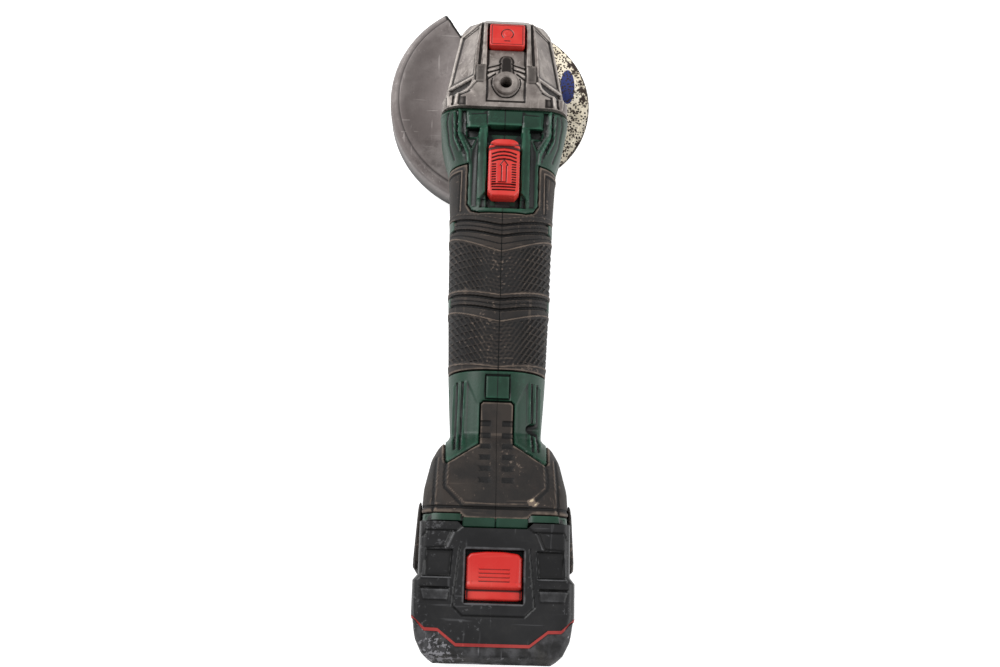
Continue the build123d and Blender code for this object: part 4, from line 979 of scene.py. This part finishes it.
# ------------------------------------------------------------------ gear head
@dataclass
class GearHead:
    """The die-cast gear housing."""

    stations: Sequence[tuple[float, ...]] = (
        # y, top half, top z, side half, upper z, lower z
        (-27.0, 18.9, 86.0, 36.2, 61.0, 37.0),
        (-19.0, 18.6, 86.0, 34.5, 61.0, 37.0),
        (-2.0, 17.6, 84.5, 30.8, 63.5, 37.0),
        (17.3, 14.8, 81.0, 26.4, 66.0, 37.0),
        (20.8, 14.2, 75.5, 24.4, 65.5, 38.0),
        (24.0, 13.2, 71.0, 21.8, 65.0, 38.5),
        (27.2, 12.0, 66.5, 17.0, 61.0, 40.0),
    )
    hole: tuple[float, float] = (0.0, -22.9)
    # the lock button's well, darkened with painted shadow round the button
    pocket: Relief = Relief(rectangle(-1, 10.65, -1.45, 15.55), 7.4, 0.5, tone=-0.7)
    # relief tones: painted shade in grooves and recesses below zero, painted highlight on ridges and raised strips
    # above zero
    reliefs: Sequence[Relief] = (
        Relief(rectangle(-1, 11.0, -34.2, 17.0), -0.8, 0.7),
        Relief([(11.2, 16.0), (11.2, -34.2), (-1, -34.2)], -0.2, 0.4, 0.3, -0.7),
        Relief(rectangle(11.3, 13.7, -12.0, 16.6), 0.5, 0.5, tone=0.35),
        Relief([(15.6, -11.0), (14.7, 6.0), (14.3, 17.0)], -0.9, 0.7, 0.7, -0.75),
        Relief(rectangle(11.6, 17.2, -22.7, -12.4), 0.4, 0.6, tone=-0.35),
        Relief([(16.6, 15.4), (25.4, 13.6), (31.6, -15.4), (19.4, -18.0)], -0.6, 0.6, tone=0.0),
        Relief([(14.6, 18.6), (26.6, 14.6), (32.8, -16.2)], 0.4, 0.5, 0.5, 0.55),
        Relief([(15.4, 16.6), (25.6, 14.0), (31.7, -15.8)], -0.2, 0.4, 0.25, -0.6),
        Relief([(31.9, -15.9), (19.2, -18.6)], -0.3, 0.4, 0.25, -0.6),
        Relief([(33.2, -17.4), (19.0, -20.0)], 0.4, 0.6, 0.5, 0.45),
        Relief([(18.4, -18.0), (17.4, 0.0), (15.8, 15.0)], 0.3, 0.5, 0.35, 0.25),
        Relief([(19.2, -18.0), (18.2, 0.0), (16.5, 15.0)], -0.4, 0.5, 0.3, -0.6),
        Relief([(19.8, -21.0), (32.8, -18.6), (33.6, -25.0), (21.2, -23.8)], -1.4, 0.9, tone=-0.7),
        Relief([(18.0, -22.8), (20.0, -25.2), (27.4, -28.6), (28.4, -36.0)], 0.5, 0.6, 0.6, 0.5),
        Relief([(30.2, -25.8), (33.0, -28.0), (32.6, -36.0)], 0.5, 0.6, 0.5, 0.4),
        Relief([(29.6, -28.4), (30.4, -36.0)], -0.8, 0.7, 0.5, -0.7),
        Relief([(21.0, -27.6), (26.2, -30.8), (26.8, -36.0)], -0.3, 0.6, 0.5, -0.45),
        Relief(rectangle(22.6, 26.4, -37.0, -31.6), -0.2, 0.8, tone=-0.35),
        Relief([(3.2, -11.0), (10.8, -13.4)], -0.7, 0.6, 0.35, -0.8),
        Relief([(3.4, -14.0), (10.8, -16.6)], -0.7, 0.6, 0.35, -0.8),
        Relief([(6.2, -17.2), (10.8, -21.0)], -0.7, 0.6, 0.35, -0.8),
        Relief([(6.6, -13.9), (10.2, -15.2)], 0.4, 0.6, 0.6, 0.35),
        Relief([(7.0, -16.8), (10.2, -18.6)], 0.4, 0.6, 0.7, 0.35),
        Relief([(-1, -6.4), (2.0, -6.4), (3.2, -8.4), (3.6, -17.4), (-1, -17.4)], 1.1, 0.9, tone=-0.55),
        Relief(circle(0, -22.9, 8.3, -200, 220), -0.5, 0.6, 0.3, -0.45),
        Relief([(-1, -33.6), (10.4, -33.6)], -0.5, 0.7, 0.5, -0.4),
    )

    def half_line(self, y: float) -> Array:
        """The head's half outline at y as corner points from the top middle to the bottom middle."""
        table = np.array(self.stations)
        top, high, side, upper, lower = (np.interp(y, table[:, 0], table[:, k]) for k in range(1, 6))
        return np.array([(0, high), (top, high), (side, upper), (side, lower), (side - 2, 34.0), (0, 34.0)])

    def shares(self, counts: Sequence[int]) -> Array:
        """How far round the flange each column lies, so that its columns meet the head's."""
        ends = (0.0, 0.135, 0.385, 0.535, 0.63, 1.0)
        parts = [np.linspace(a, b, n, endpoint=False) for a, b, n in zip(ends, ends[1:], counts)]
        return np.concatenate([*parts, [1.0]])

    def build(self) -> None:
        """Makes the cast head with its flange, bosses and hole rings."""
        counts = (44, 52, 26, 4, 14)
        rows = []
        lines = spans((27.1, 18.0, 0.5), (18.0, -27.2, 0.34), (-27.2, -37.3, 0.4))
        for y in lines:
            corners = self.half_line(max(y, -27.0))
            half = np.concatenate([np.linspace(corners[k], corners[k + 1], n, endpoint=False) for k, n in enumerate(counts)])
            rows.append(np.concatenate([half, [corners[-1]]]))
        flat = np.array(rows)
        x, z = flat[..., 0], flat[..., 1]
        y = np.repeat(lines[:, None], x.shape[1], 1)
        flange = section(36.3, 27.0, 84.2, 13.0, self.shares(counts))
        share = smooth(-24.5, -31.0, y)
        x = x * (1 - share) + flange[None, :, 0] * share
        z = z * (1 - share) + flange[None, :, 1] * share
        height, tone = relief_of(self.reliefs, x, y)
        upper = z > 55
        height, tone = height * upper, tone * upper
        points = np.stack([x, y, z], -1)
        centre = np.stack([x * 0, y, y * 0 + 58], -1)
        normal = outward(points, centre)
        well = 1 - smooth(5.0, 5.6, np.hypot(x - self.hole[0], y - self.hole[1]))
        height = np.where(upper, height * (1 - well) - 9.0 * well, height)
        # the threaded hole is darkened with painted shade inside it
        tone = tone - well * upper
        outer = points + normal * np.where(upper, height, 0)[..., None]
        sunk = self.pocket.cover(x, y) * upper
        outer[..., 2] -= self.pocket.height * sunk
        tone = tone + self.pocket.tone * sunk
        outer[..., 0] = np.where(points[..., 0] < 1e-6, 0, outer[..., 0])
        both = np.concatenate([(outer * [-1, 1, 1])[:, ::-1], outer[:, 1:]], 1)
        wear_and_shading = wear_and_shading_of(height, tone)
        wear_and_shading = np.concatenate([wear_and_shading[:, ::-1], wear_and_shading[:, 1:]], 1)
        rows_n, columns_n = both.shape[:2]
        number = np.arange(rows_n * columns_n).reshape(rows_n, columns_n)
        number[:, -1] = number[:, 0]
        quads = np.stack([number[:-1, :-1], number[1:, :-1], number[1:, 1:], number[:-1, 1:]], -1).reshape(-1, 4)
        faces = quads.tolist() + [number[0, :-1].tolist(), number[-1, :-1][::-1].tolist()]
        body = Body()
        flat_points = both.reshape(-1, 3)
        a, b, c = (flat_points[quads[:, k]] for k in (0, 1, 2))
        middle = np.array([0, -4, 58])
        if np.sum(np.cross(b - a, c - a) * (a - middle)) < 0:
            faces = [f[::-1] for f in faces]
        body.add(flat_points, faces, wear_and_shading.ravel())
        ring = [(6.9, 77.0), (6.9, 85.9), (6.4, 86.6), (4.1, 86.6), (3.5, 86.2), (3.4, 85.8), (3.4, 77.0)]
        body.turned(ring, 64, [self.hole], 0.1)
        dress(body.object("gear_head_casting"), Surface.CAST, "tool_body", "cast_alloy", "gear_housing")
        low, high = box_mm("cover_screws")
        radius = 3.2
        xs, ys = (low[0] + radius, high[0] - radius), (low[1] + radius, high[1] - radius)
        places = [(xs[0], ys[0], low[2] + 1.2), (xs[1], ys[0], low[2] + 1.2), (xs[0] + 4, ys[1], low[2] + 1.2), (xs[1] - 4, ys[1], low[2] + 1.2)]
        screws = SetOfScrews(places, radius, (math.pi, 0, 0)).build("cover_screw_heads", Surface.DARK_STEEL)
        dress(screws, Surface.DARK_STEEL, "tool_body", "dark_steel", "cover_screws")


# ------------------------------------------------------------------ slabs
@dataclass
class Slab:
    """A button or knob: an outline with a rounded top and relief on it."""

    name: str
    outline: Points
    low: float
    high: float
    edge_r: float = 1.0
    step: float = 0.3
    crown: float = 0.0
    slope: float = 0.0
    reliefs: Sequence[Relief] = ()

    def build(self) -> bpy.types.Object:
        """Makes the slab."""
        corners = np.array(self.outline)
        ys = spans((corners[:, 1].min(), corners[:, 1].max(), self.step))
        half = corners[:, 0].max()
        columns = np.linspace(-1, 1, round(2 * half / self.step) + 1)
        right = corners[corners[:, 0] > 0]
        order = np.argsort(right[:, 1], kind="stable")
        edge = np.interp(ys, right[order, 1], right[order, 0])
        x = columns[None, :] * edge[:, None]
        y = np.repeat(ys[:, None], len(columns), 1)
        off = np.clip(distance(self.outline, x, y), -self.edge_r, 0)
        fall = self.edge_r - np.sqrt(np.maximum(self.edge_r**2 - (self.edge_r + off) ** 2, 0))
        height, tone = relief_of(self.reliefs, x, y)
        z = self.high - fall + height - self.crown * (x / half) ** 2 + self.slope * (y - ys.min())
        outer = np.stack([x, y, z], -1)
        inner = np.stack([x, y, z * 0 + self.low], -1)
        up = np.zeros(outer.shape)
        up[..., 2] = 1
        body = Body()
        body.skin(outer, inner, up, wear_and_shading_of(height, tone))
        return body.object(self.name, 40)


def box_mm(node: str) -> tuple[Array, Array]:
    """A CAD node's corners in mm."""
    low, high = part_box(node)
    return np.array(low) / MM, np.array(high) / MM


@dataclass
class Controls:
    """The slide switch and the spindle lock."""

    def knob(self) -> None:
        """Makes the red slide knob with its arrow, ladder and grip ribs."""
        low, high = box_mm("switch_knob")
        half, rear, front = high[0], low[1] + 1.8, high[1]
        ribs: list[Relief] = []
        # the rib, ladder and arrow grooves are darkened with painted shade
        for k, at in enumerate((7.4, 9.6, 11.8)):
            arc = [(-6.6, front - at - 1.5), (-3.5, front - at - 0.4), (0, front - at), (3.5, front - at - 0.4), (6.6, front - at - 1.5)]
            ribs.append(Relief(arc, -0.8, 0.5, 0.4, -0.5 - 0.05 * k))
        for k in range(9):
            for side in (-1, 1):
                at = front - 15.0 - 1.5 * k
                ribs.append(Relief([(side * 4.6, at), (side * 6.6, at - 0.1)], -0.6, 0.4, 0.3, -0.6))
        for k in range(3):
            at = rear + 3.4 + 1.7 * k
            ribs.append(Relief([(-6.4 + 0.3 * (k == 0), at), (6.4 - 0.3 * (k == 0), at)], -0.8, 0.5, 0.35, -0.6))
        mid = (front + rear) / 2 - 3.2
        arrow = [(-1.4, mid - 5), (-1.4, mid + 4.4), (-2.3, mid + 4.4), (0, mid + 7.6), (2.3, mid + 4.4), (1.4, mid + 4.4), (1.4, mid - 5.6), (-3.0, mid - 5.6)]
        ribs.append(Relief(arrow, -0.5, 0.4, 0.2, -0.6))
        ribs.append(Relief([(-half, front - 2.4), (-4, front - 3.6), (0, front - 4.0), (4, front - 3.6), (half, front - 2.4), (half, front), (-half, front)], 1.1, 1.6))
        ribs.append(Relief([(-half, front - 5.9), (-4, front - 5.0), (0, front - 4.6), (4, front - 5.0), (half, front - 5.9)], -0.7, 1.6, 0.9, -0.3))
        outline = [(-half, rear + 2.8), (-half + 2.4, rear), (half - 2.4, rear), (half, rear + 2.8), (half, front - 4.0), (half - 1.4, front - 1.6), (half - 3.6, front - 0.4), (2.5, front), (-2.5, front), (-half + 3.6, front - 0.4), (-half + 1.4, front - 1.6), (-half, front - 4.0)]
        knob = Slab("slide_knob", outline, low[2], high[2] - 1.3, 0.9, 0.26, 0.6, reliefs=ribs)
        dress(knob.build(), Surface.RED, "switch", "red_plastic", "switch_knob")

    def lock(self) -> None:
        """Makes the red spindle-lock button with its locking sign."""
        low, high = box_mm("lock_button")
        half, rear, front = high[0], low[1], high[1]
        mid = (rear + front) / 2
        sign = circle(0, mid + 0.6, 3.4, -50, 280)
        # the sign and outline grooves are darkened with painted shade, the raised centre lightened as painted
        # highlight
        marks = [
            Relief(sign, -0.4, 0.4, 0.22, -0.7),
            Relief(circle(0, mid + 0.8, 1.9), 0.25, 0.6, tone=0.1),
            Relief([(-1.6, mid - 4.4), (1.6, mid - 4.4)], -0.4, 0.4, 0.22, -0.7),
            Relief([(-half + 1.2, rear + 1.3), (half - 1.2, rear + 1.3), (half - 1.2, front - 1.0), (-half + 1.2, front - 1.0), (-half + 1.2, rear + 1.3)], -0.2, 0.4, 0.2, -0.25),
        ]
        outline = [(-half, rear + 1.2), (-half + 1.2, rear), (half - 1.2, rear), (half, rear + 1.2), (half, front - 0.8), (half - 0.8, front), (-half + 0.8, front), (-half, front - 0.8)]
        slope = -3.2 / (front - rear)
        slab = Slab("lock_button_cap", outline, low[2], high[2], 0.8, 0.26, slope=slope, reliefs=marks)
        dress(slab.build(), Surface.RED, "lock", "red_plastic", "lock_button")

    def springs(self) -> None:
        """Makes the two return springs."""
        for node, joint, axis, wire, turns, travel in (
            ("lock_spring", "lock_press", 2, 0.7, 3.5, 4.1),
            ("switch_spring", "switch_slide", 1, 0.8, 9.0, 6.1),
        ):
            low, high = box_mm(node)
            upright = axis == 2
            length = high[axis] - low[axis]
            anchor = (low + high) / 2
            anchor[axis] = low[axis] if upright else high[axis]
            seat = anchor.copy()
            seat[axis] += wire / 2 if upright else -wire / 2
            radius = (high[0] - low[0] - wire) / 2
            coil = Coil(tuple(seat.tolist()), 0.0 if upright else 90.0, radius, wire, length, turns)
            piece = coil.build(f"{node}_coil", Surface.STEEL)
            dress(piece, Surface.STEEL, "tool_body", "steel", node)
            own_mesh(piece)

    def build(self) -> None:
        """Makes both controls and their springs."""
        self.knob()
        self.lock()
        self.springs()


# ------------------------------------------------------------------ guard and wheel
@dataclass
class GuardAndWheel:
    """The pressed guard and the abrasive wheel under it."""

    start_deg: float = 123.0
    sweep_deg: float = 173.0
    profile: Points = (
        (24.4, 20.0), (34.0, 20.0), (35.0, 19.6), (60.0, 19.6), (61.0, 20.0), (64.5, 20.0), (65.4, 19.3), (67.4, 19.2),
        (69.6, 17.6), (70.8, 15.2), (71.0, 12.0), (71.0, -2.6), (70.6, -3.0), (69.6, -3.0), (69.2, -2.6), (69.2, 12.0),
        (68.6, 14.6), (67.2, 16.6), (65.0, 17.5), (60.0, 17.8), (35.0, 17.8), (24.4, 18.2),
    )

    def build(self) -> None:
        """Makes and dresses the guard and the wheel."""
        ring = np.array(self.profile)
        turns = np.radians(np.linspace(self.start_deg, self.start_deg + self.sweep_deg, 175))
        points = np.array([[(r * math.cos(t), r * math.sin(t), z) for r, z in ring] for t in turns])
        rows, columns = points.shape[:2]
        number = np.arange(rows * columns).reshape(rows, columns)
        following = np.roll(number, -1, axis=1)
        quads = np.stack([number[:-1], number[1:], following[1:], following[:-1]], -1).reshape(-1, 4)
        faces = quads.tolist() + [number[0].tolist(), number[-1][::-1].tolist()]
        a, b, c = (points.reshape(-1, 3)[quads[3, k]] for k in (0, 1, 2))
        if np.cross(b - a, c - a)[2] < 0:
            faces = [f[::-1] for f in faces]
        # painted shade: dark lines round the rim's shoulder and outer wall and along both cut ends, with faint painted
        # highlight lines between
        wear_and_shading = np.zeros((rows, columns))
        for column, shade in ((4, 0.1), (6, -0.35), (8, 0.1), (9, -0.2), (10, -0.1), (11, -0.5), (12, -0.7)):
            wear_and_shading[:, column] = shade
        wear_and_shading[:2], wear_and_shading[-2:] = -0.5, -0.5
        body = Body()
        body.add(points.reshape(-1, 3), faces, wear_and_shading.ravel())
        body.turned([(22.4, 18.4), (25.6, 18.4), (25.6, 20.0), (24.4, 20.4), (24.4, 27.8), (24.2, 28.0), (22.6, 28.0), (22.4, 27.8)])
        dress(body.object("pressed_guard"), Surface.GUARD, "guard", "guard_steel", "guard_shell")
        low, high = box_mm("cutting_disc")
        edge = high[0] - 0.05
        z0, z1 = low[2], high[2]
        wheel = Body()
        wheel.turned(
            [(11.1, z0), (11.1, z1), (20.0, z1), (20.6, z1 - 0.2), (21.4, z1), (edge - 4.6, z1), (edge - 4.2, z1 - 0.5), (edge - 0.3, z1 - 0.5), (edge, z1 - 0.8), (edge, z0 + 0.3), (edge - 0.3, z0)],
            160,
        )
        dress(wheel.object("abrasive_wheel"), Surface.ABRASIVE, "spindle_group", "abrasive", "cutting_disc")


# ------------------------------------------------------------------ battery
@dataclass
class Battery:
    """The sliding battery pack's shells and its latch button."""

    outline: Points = ((-342.0, 28.5), (-340.4, 31.0), (-337.2, 34.2), (-331.0, 37.3), (-319.0, 39.9), (-303.0, 39.9), (-300.0, 37.4), (-274.4, 37.4))
    seam: Points = ((0.0, -332.4), (17.7, -332.4), (26.6, -325.6), (33.0, -325.4), (39.2, -320.0), (45.0, -316.5))
    trim: float = 1.5
    low: float = -3.0
    high: float = 112.0
    sink: float = 0.45
    front_reliefs: Sequence[Relief] = (
        # relief tones: painted shade in grooves and the latch well below zero, painted highlight on ridges and raised
        # strips above zero
        Relief([(-1, -276.4), (15.5, -276.4), (19.0, -279.0), (33.6, -279.0), (36.0, -282.0)], -0.5, 0.6, 0.35, -0.5),
        Relief([(21.4, -279.4), (24.6, -287.0), (33.6, -287.8)], -0.5, 0.7, 0.4, -0.45),
        Relief([(20.2, -280.0), (23.2, -287.0)], 0.35, 0.5, 0.35, 0.35),
        Relief([(17.3, -287.5), (20.0, -315.0), (15.0, -319.6), (-1, -319.6)], -0.5, 0.7, 0.4, -0.4),
        Relief([(-1, -313.9), (13.6, -313.9)], 0.3, 0.5, 0.3, 0.4),
        Relief([(20.6, -288.3), (33.6, -288.3), (34.6, -301.2), (21.6, -301.2)], -1.3, 1.2, tone=-0.2),
        Relief([(21.6, -301.6), (35.2, -301.6)], 0.4, 0.6, 0.5, 0.35),
        Relief([(22.2, -307.2), (35.6, -307.2), (34.2, -312.1), (22.8, -312.1)], 0.7, 0.8, tone=0.35),
        Relief([(22.0, -306.6), (36.0, -306.6)], -0.6, 0.6, 0.4, -0.5),
        Relief(rectangle(-1, 14.2, -313.2, -287.9), -6.0, 0.5, tone=-0.6),
    )

    def grid(self, shares: Array, front: bool) -> tuple[Array, Array]:
        """Places of one shell's skin on both sides.

        Args:
            shares: rows from the front edge to the rear edge, from 0 to 1.
            front: True for the shell next to the tool.

        Returns:
            The grid of places and its normals.
        """
        corner = 4.0
        flat = np.linspace(0, 1, 92)
        bend = np.radians(np.linspace(0, 90, 9))[1:]
        fall = np.linspace(0, 1, 40)[1:]
        table, seam = np.array(self.outline), np.array(self.seam)
        share = shares[:, None]

        def rows(x_of: Callable[[Array], Array]) -> tuple[Array, Array]:
            """Settles x and y together, because the width depends on y and the seam on x."""
            y = -300.0 + share * 0
            for _ in range(12):
                half = np.interp(y, table[:, 0], table[:, 1])
                x = x_of(half)
                edge = np.interp(x, seam[:, 0], seam[:, 1])
                if front:
                    nose = np.interp(x, (15.5, 18.7), (-277.5, -274.6))
                    y = nose + (edge - nose) * share
                else:
                    y = edge - self.trim + (-341.9 - edge + self.trim) * share
            return x, y

        x1, y1 = rows(lambda half: flat[None, :] * (half - corner))
        x2, y2 = rows(lambda half: half - corner + corner * np.sin(bend)[None, :])
        x3, y3 = rows(lambda half: half + 0 * fall[None, :])
        x4, y4 = rows(lambda half: half - corner + corner * np.cos(bend)[None, :])
        back = flat[::-6]
        x5, y5 = rows(lambda half: back[None, :] * (half - corner))
        drop = 0.0 * y1
        if not front:
            drop = 3.5 * smooth(-337.5, -342.0, y1)
        z1 = self.high + 0 * x1 - drop
        z2 = self.high - corner + corner * np.cos(bend)[None, :] + 0 * x2 - drop[:, -1:]
        z3 = (self.high - corner - drop[:, -1:]) * (1 - fall)[None, :] + (self.low + corner) * fall[None, :] + 0 * x3
        z4 = self.low + corner - corner * np.sin(bend)[None, :] + 0 * x4
        z5 = self.low + 0 * x5
        x, y, z = (np.concatenate(parts, 1) for parts in ((x1, x2, x3, x4, x5), (y1, y2, y3, y4, y5), (z1, z2, z3, z4, z5)))
        points = np.stack([x, y, z], -1)
        centre = np.stack([x * 0, y, y * 0 + 54], -1)
        return points, outward(points, centre)

    def shell(self, name: str, front: bool, surface: Surface, node: str) -> None:
        """Makes one shell as a closed wall."""
        shares = np.linspace(0, 1, 130 if front else 40)
        points, normal = self.grid(shares, front)
        x, y, z = (points[..., k] for k in range(3))
        if front:
            height, tone = relief_of(self.front_reliefs, x, y)
            on_top = z > 106
            height, tone = np.minimum((height - self.sink) * on_top, 0), tone * on_top
            well = (1 - smooth(13.9, 14.4, x)) * smooth(-313.4, -312.9, y) * (1 - smooth(-288.1, -287.7, y)) * on_top
        else:
            height, tone = -0.35 * smooth(0.3, 0.0, shares)[:, None] + 0 * x, 0 * x
            well = 0 * x
        away = np.where((well > 0.02)[..., None], np.array([0.0, 0.0, 1.0]), normal)
        outer = points + away * height[..., None]
        inner = outer - away * 1.8
        mirrored = np.array([-1, 1, 1])
        both = [np.concatenate([(g * mirrored)[:, ::-1], g[:, 1:]], 1) for g in (outer, inner, normal)]
        wear_and_shading = wear_and_shading_of(height, tone)
        wear_and_shading = np.concatenate([wear_and_shading[:, ::-1], wear_and_shading[:, 1:]], 1)
        body = Body()
        body.skin(both[0], both[1], both[2], wear_and_shading)
        if not front:
            body.brick((-28.8, -342.0, self.low + 2.2), (28.8, -340.0, self.high - 4.2), 0.5)
        dress(body.object(name), surface, "battery", "black_plastic", node)

    def latch(self) -> None:
        """Makes the red latch button with its thin ribs and finger ledge."""
        low, high = box_mm("battery_latch")
        half, rear, top = high[0], low[1], high[2]
        front = rear + 23.6
        # the grooves behind the ribs are darkened with painted shade, the side lines lightened with painted highlight
        marks = [
            Relief([(-half, rear + 5.6), (half, rear + 5.6), (half, rear - 1.0), (-half, rear - 1.0)], -1.6, 2.2, tone=0.0),
            Relief([(-half + 1, rear + 7.4), (half - 1, rear + 7.4)], 0.3, 2.0, 0.9, 0.12),
            Relief([(-half + 1.6, front), (-half + 2.2, rear + 7.4)], 0.2, 1.2, 0.4, 0.1),
            Relief([(half - 1.6, front), (half - 2.2, rear + 7.4)], 0.2, 1.2, 0.4, 0.1),
        ]
        for k in range(4):
            at = rear + 9.7 + 1.9 * k
            marks.append(Relief([(-7.4, at - 0.6), (7.4, at - 0.6)], -0.15, 0.4, 0.15, -0.2))
        outline = [(-half, rear + 0.8), (-half + 0.8, rear), (half - 0.8, rear), (half, rear + 0.8), (half, front - 3.0), (half - 2.4, front - 0.9), (4.0, front), (-4.0, front), (-half + 2.4, front - 0.9), (-half, front - 3.0)]
        slab = Slab("latch_button", outline, low[2] + 3.6, top - 0.5, 1.4, 0.28, 0.8, reliefs=marks)
        dress(slab.build(), Surface.RED, "latch", "red_plastic", "battery_latch")
        ribs = RowOfRibs((0, rear + 9.7, top - 0.75), (0, 1.9, 0), 4, 14.8, 0.42)
        dress(ribs.build("latch_ribs", Surface.RED), Surface.RED, "latch", "red_plastic")

    def build(self) -> None:
        """Makes and dresses the pack."""
        self.shell("pack_front_shell", True, Surface.BLACK, "battery_front_shell")
        self.shell("pack_rear_shell", False, Surface.SCUFFED, "battery_rear_shell")
        self.latch()


# ------------------------------------------------------------------ carried-over CAD nodes
def dress_frame() -> None:
    """Gives every CAD node that stays the finish of its slot in the record."""
    named = {part["node"]: part["material_slot"] for part in frame["record"]["subparts"]}
    for node, obj in frame["nodes"].items():
        slot = named.get(node) or "dark_steel"
        surface = Surface.BLACK if node == "switch_rod" else SLOT_FINISH.get(slot, Surface.DARK_STEEL)
        if not obj.data.materials:
            obj.data.materials.append(surface.material())
        for place in obj.material_slots:
            place.material = surface.material()


# ------------------------------------------------------------------ stage
@dataclass
class Stage:
    """The pale floor, the soft light and the camera."""

    camera_place: tuple[float, float, float] = (0.0004, -0.332, 0.6822)
    tilt_deg: float = 15.08
    roll_deg: float = 1.57
    lean_deg: float = -1.7
    lean_z: float = 0.085
    lens: float = 41.4

    def build(self) -> None:
        """Sets the stage."""
        floor_mesh = bpy.data.meshes.new("floor")
        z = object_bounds()[0].z - 0.0002
        floor_mesh.from_pydata([(-3, -3, z), (3, -3, z), (3, 3, z), (-3, 3, z)], [], [(0, 1, 2, 3)])
        floor = bpy.data.objects.new("floor", floor_mesh)
        bpy.context.scene.collection.objects.link(floor)
        paper = bpy.data.materials.new("white_paper_floor")
        paper.use_nodes = True
        shader = paper.node_tree.nodes["Principled BSDF"]
        shader.inputs["Base Color"].default_value = linear("#f7f7f7")
        shader.inputs["Roughness"].default_value = 0.9
        shader.inputs["Emission Color"].default_value = (1, 1, 1, 1)
        shader.inputs["Emission Strength"].default_value = 0.5
        floor.data.materials.append(paper)
        floor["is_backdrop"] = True
        world = bpy.data.worlds.new("soft_room")
        world.use_nodes = True
        world.node_tree.nodes["Background"].inputs[0].default_value = (1, 1, 1, 1)
        world.node_tree.nodes["Background"].inputs[1].default_value = 0.42
        bpy.context.scene.world = world
        for name, place, size, power in (("key", (-1.0, 0.6, 1.1), 0.8, 26), ("fill", (1.1, -0.4, 0.9), 1.0, 14)):
            lamp = bpy.data.lights.new(name, "AREA")
            lamp.size, lamp.energy = size, power
            holder = bpy.data.objects.new(name, lamp)
            bpy.context.scene.collection.objects.link(holder)
            holder.location = place
            aim = -holder.location + type(holder.location)((0, -0.17, 0.05))
            holder.rotation_euler = aim.to_track_quat("-Z", "Y").to_euler()
        camera = bpy.data.objects.new("camera", bpy.data.cameras.new("camera"))
        bpy.context.scene.collection.objects.link(camera)
        turn = Matrix.Rotation(math.radians(self.tilt_deg), 4, "X") @ Matrix.Rotation(math.radians(self.roll_deg), 4, "Z")
        lean = Matrix.Rotation(math.radians(self.lean_deg), 4, "Y")
        pivot = Matrix.Translation((0, 0, self.lean_z))
        camera.matrix_world = pivot @ lean @ pivot.inverted() @ Matrix.Translation(self.camera_place) @ turn
        camera.data.lens, camera.data.sensor_width = self.lens, 36.0
        bpy.context.scene.camera = camera
        bpy.context.scene.view_settings.view_transform = "Standard"


def main() -> None:
    """Builds the grinder's looks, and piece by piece."""
    logging.basicConfig(level=logging.INFO, format="%(message)s")
    dress_frame()
    for part in (Handle(), GearHead(), Controls(), GuardAndWheel(), Battery()):
        part.build()
        log.info("%s is built", type(part).__name__)
    Stage().build()


if __name__ == "__main__":
    main()
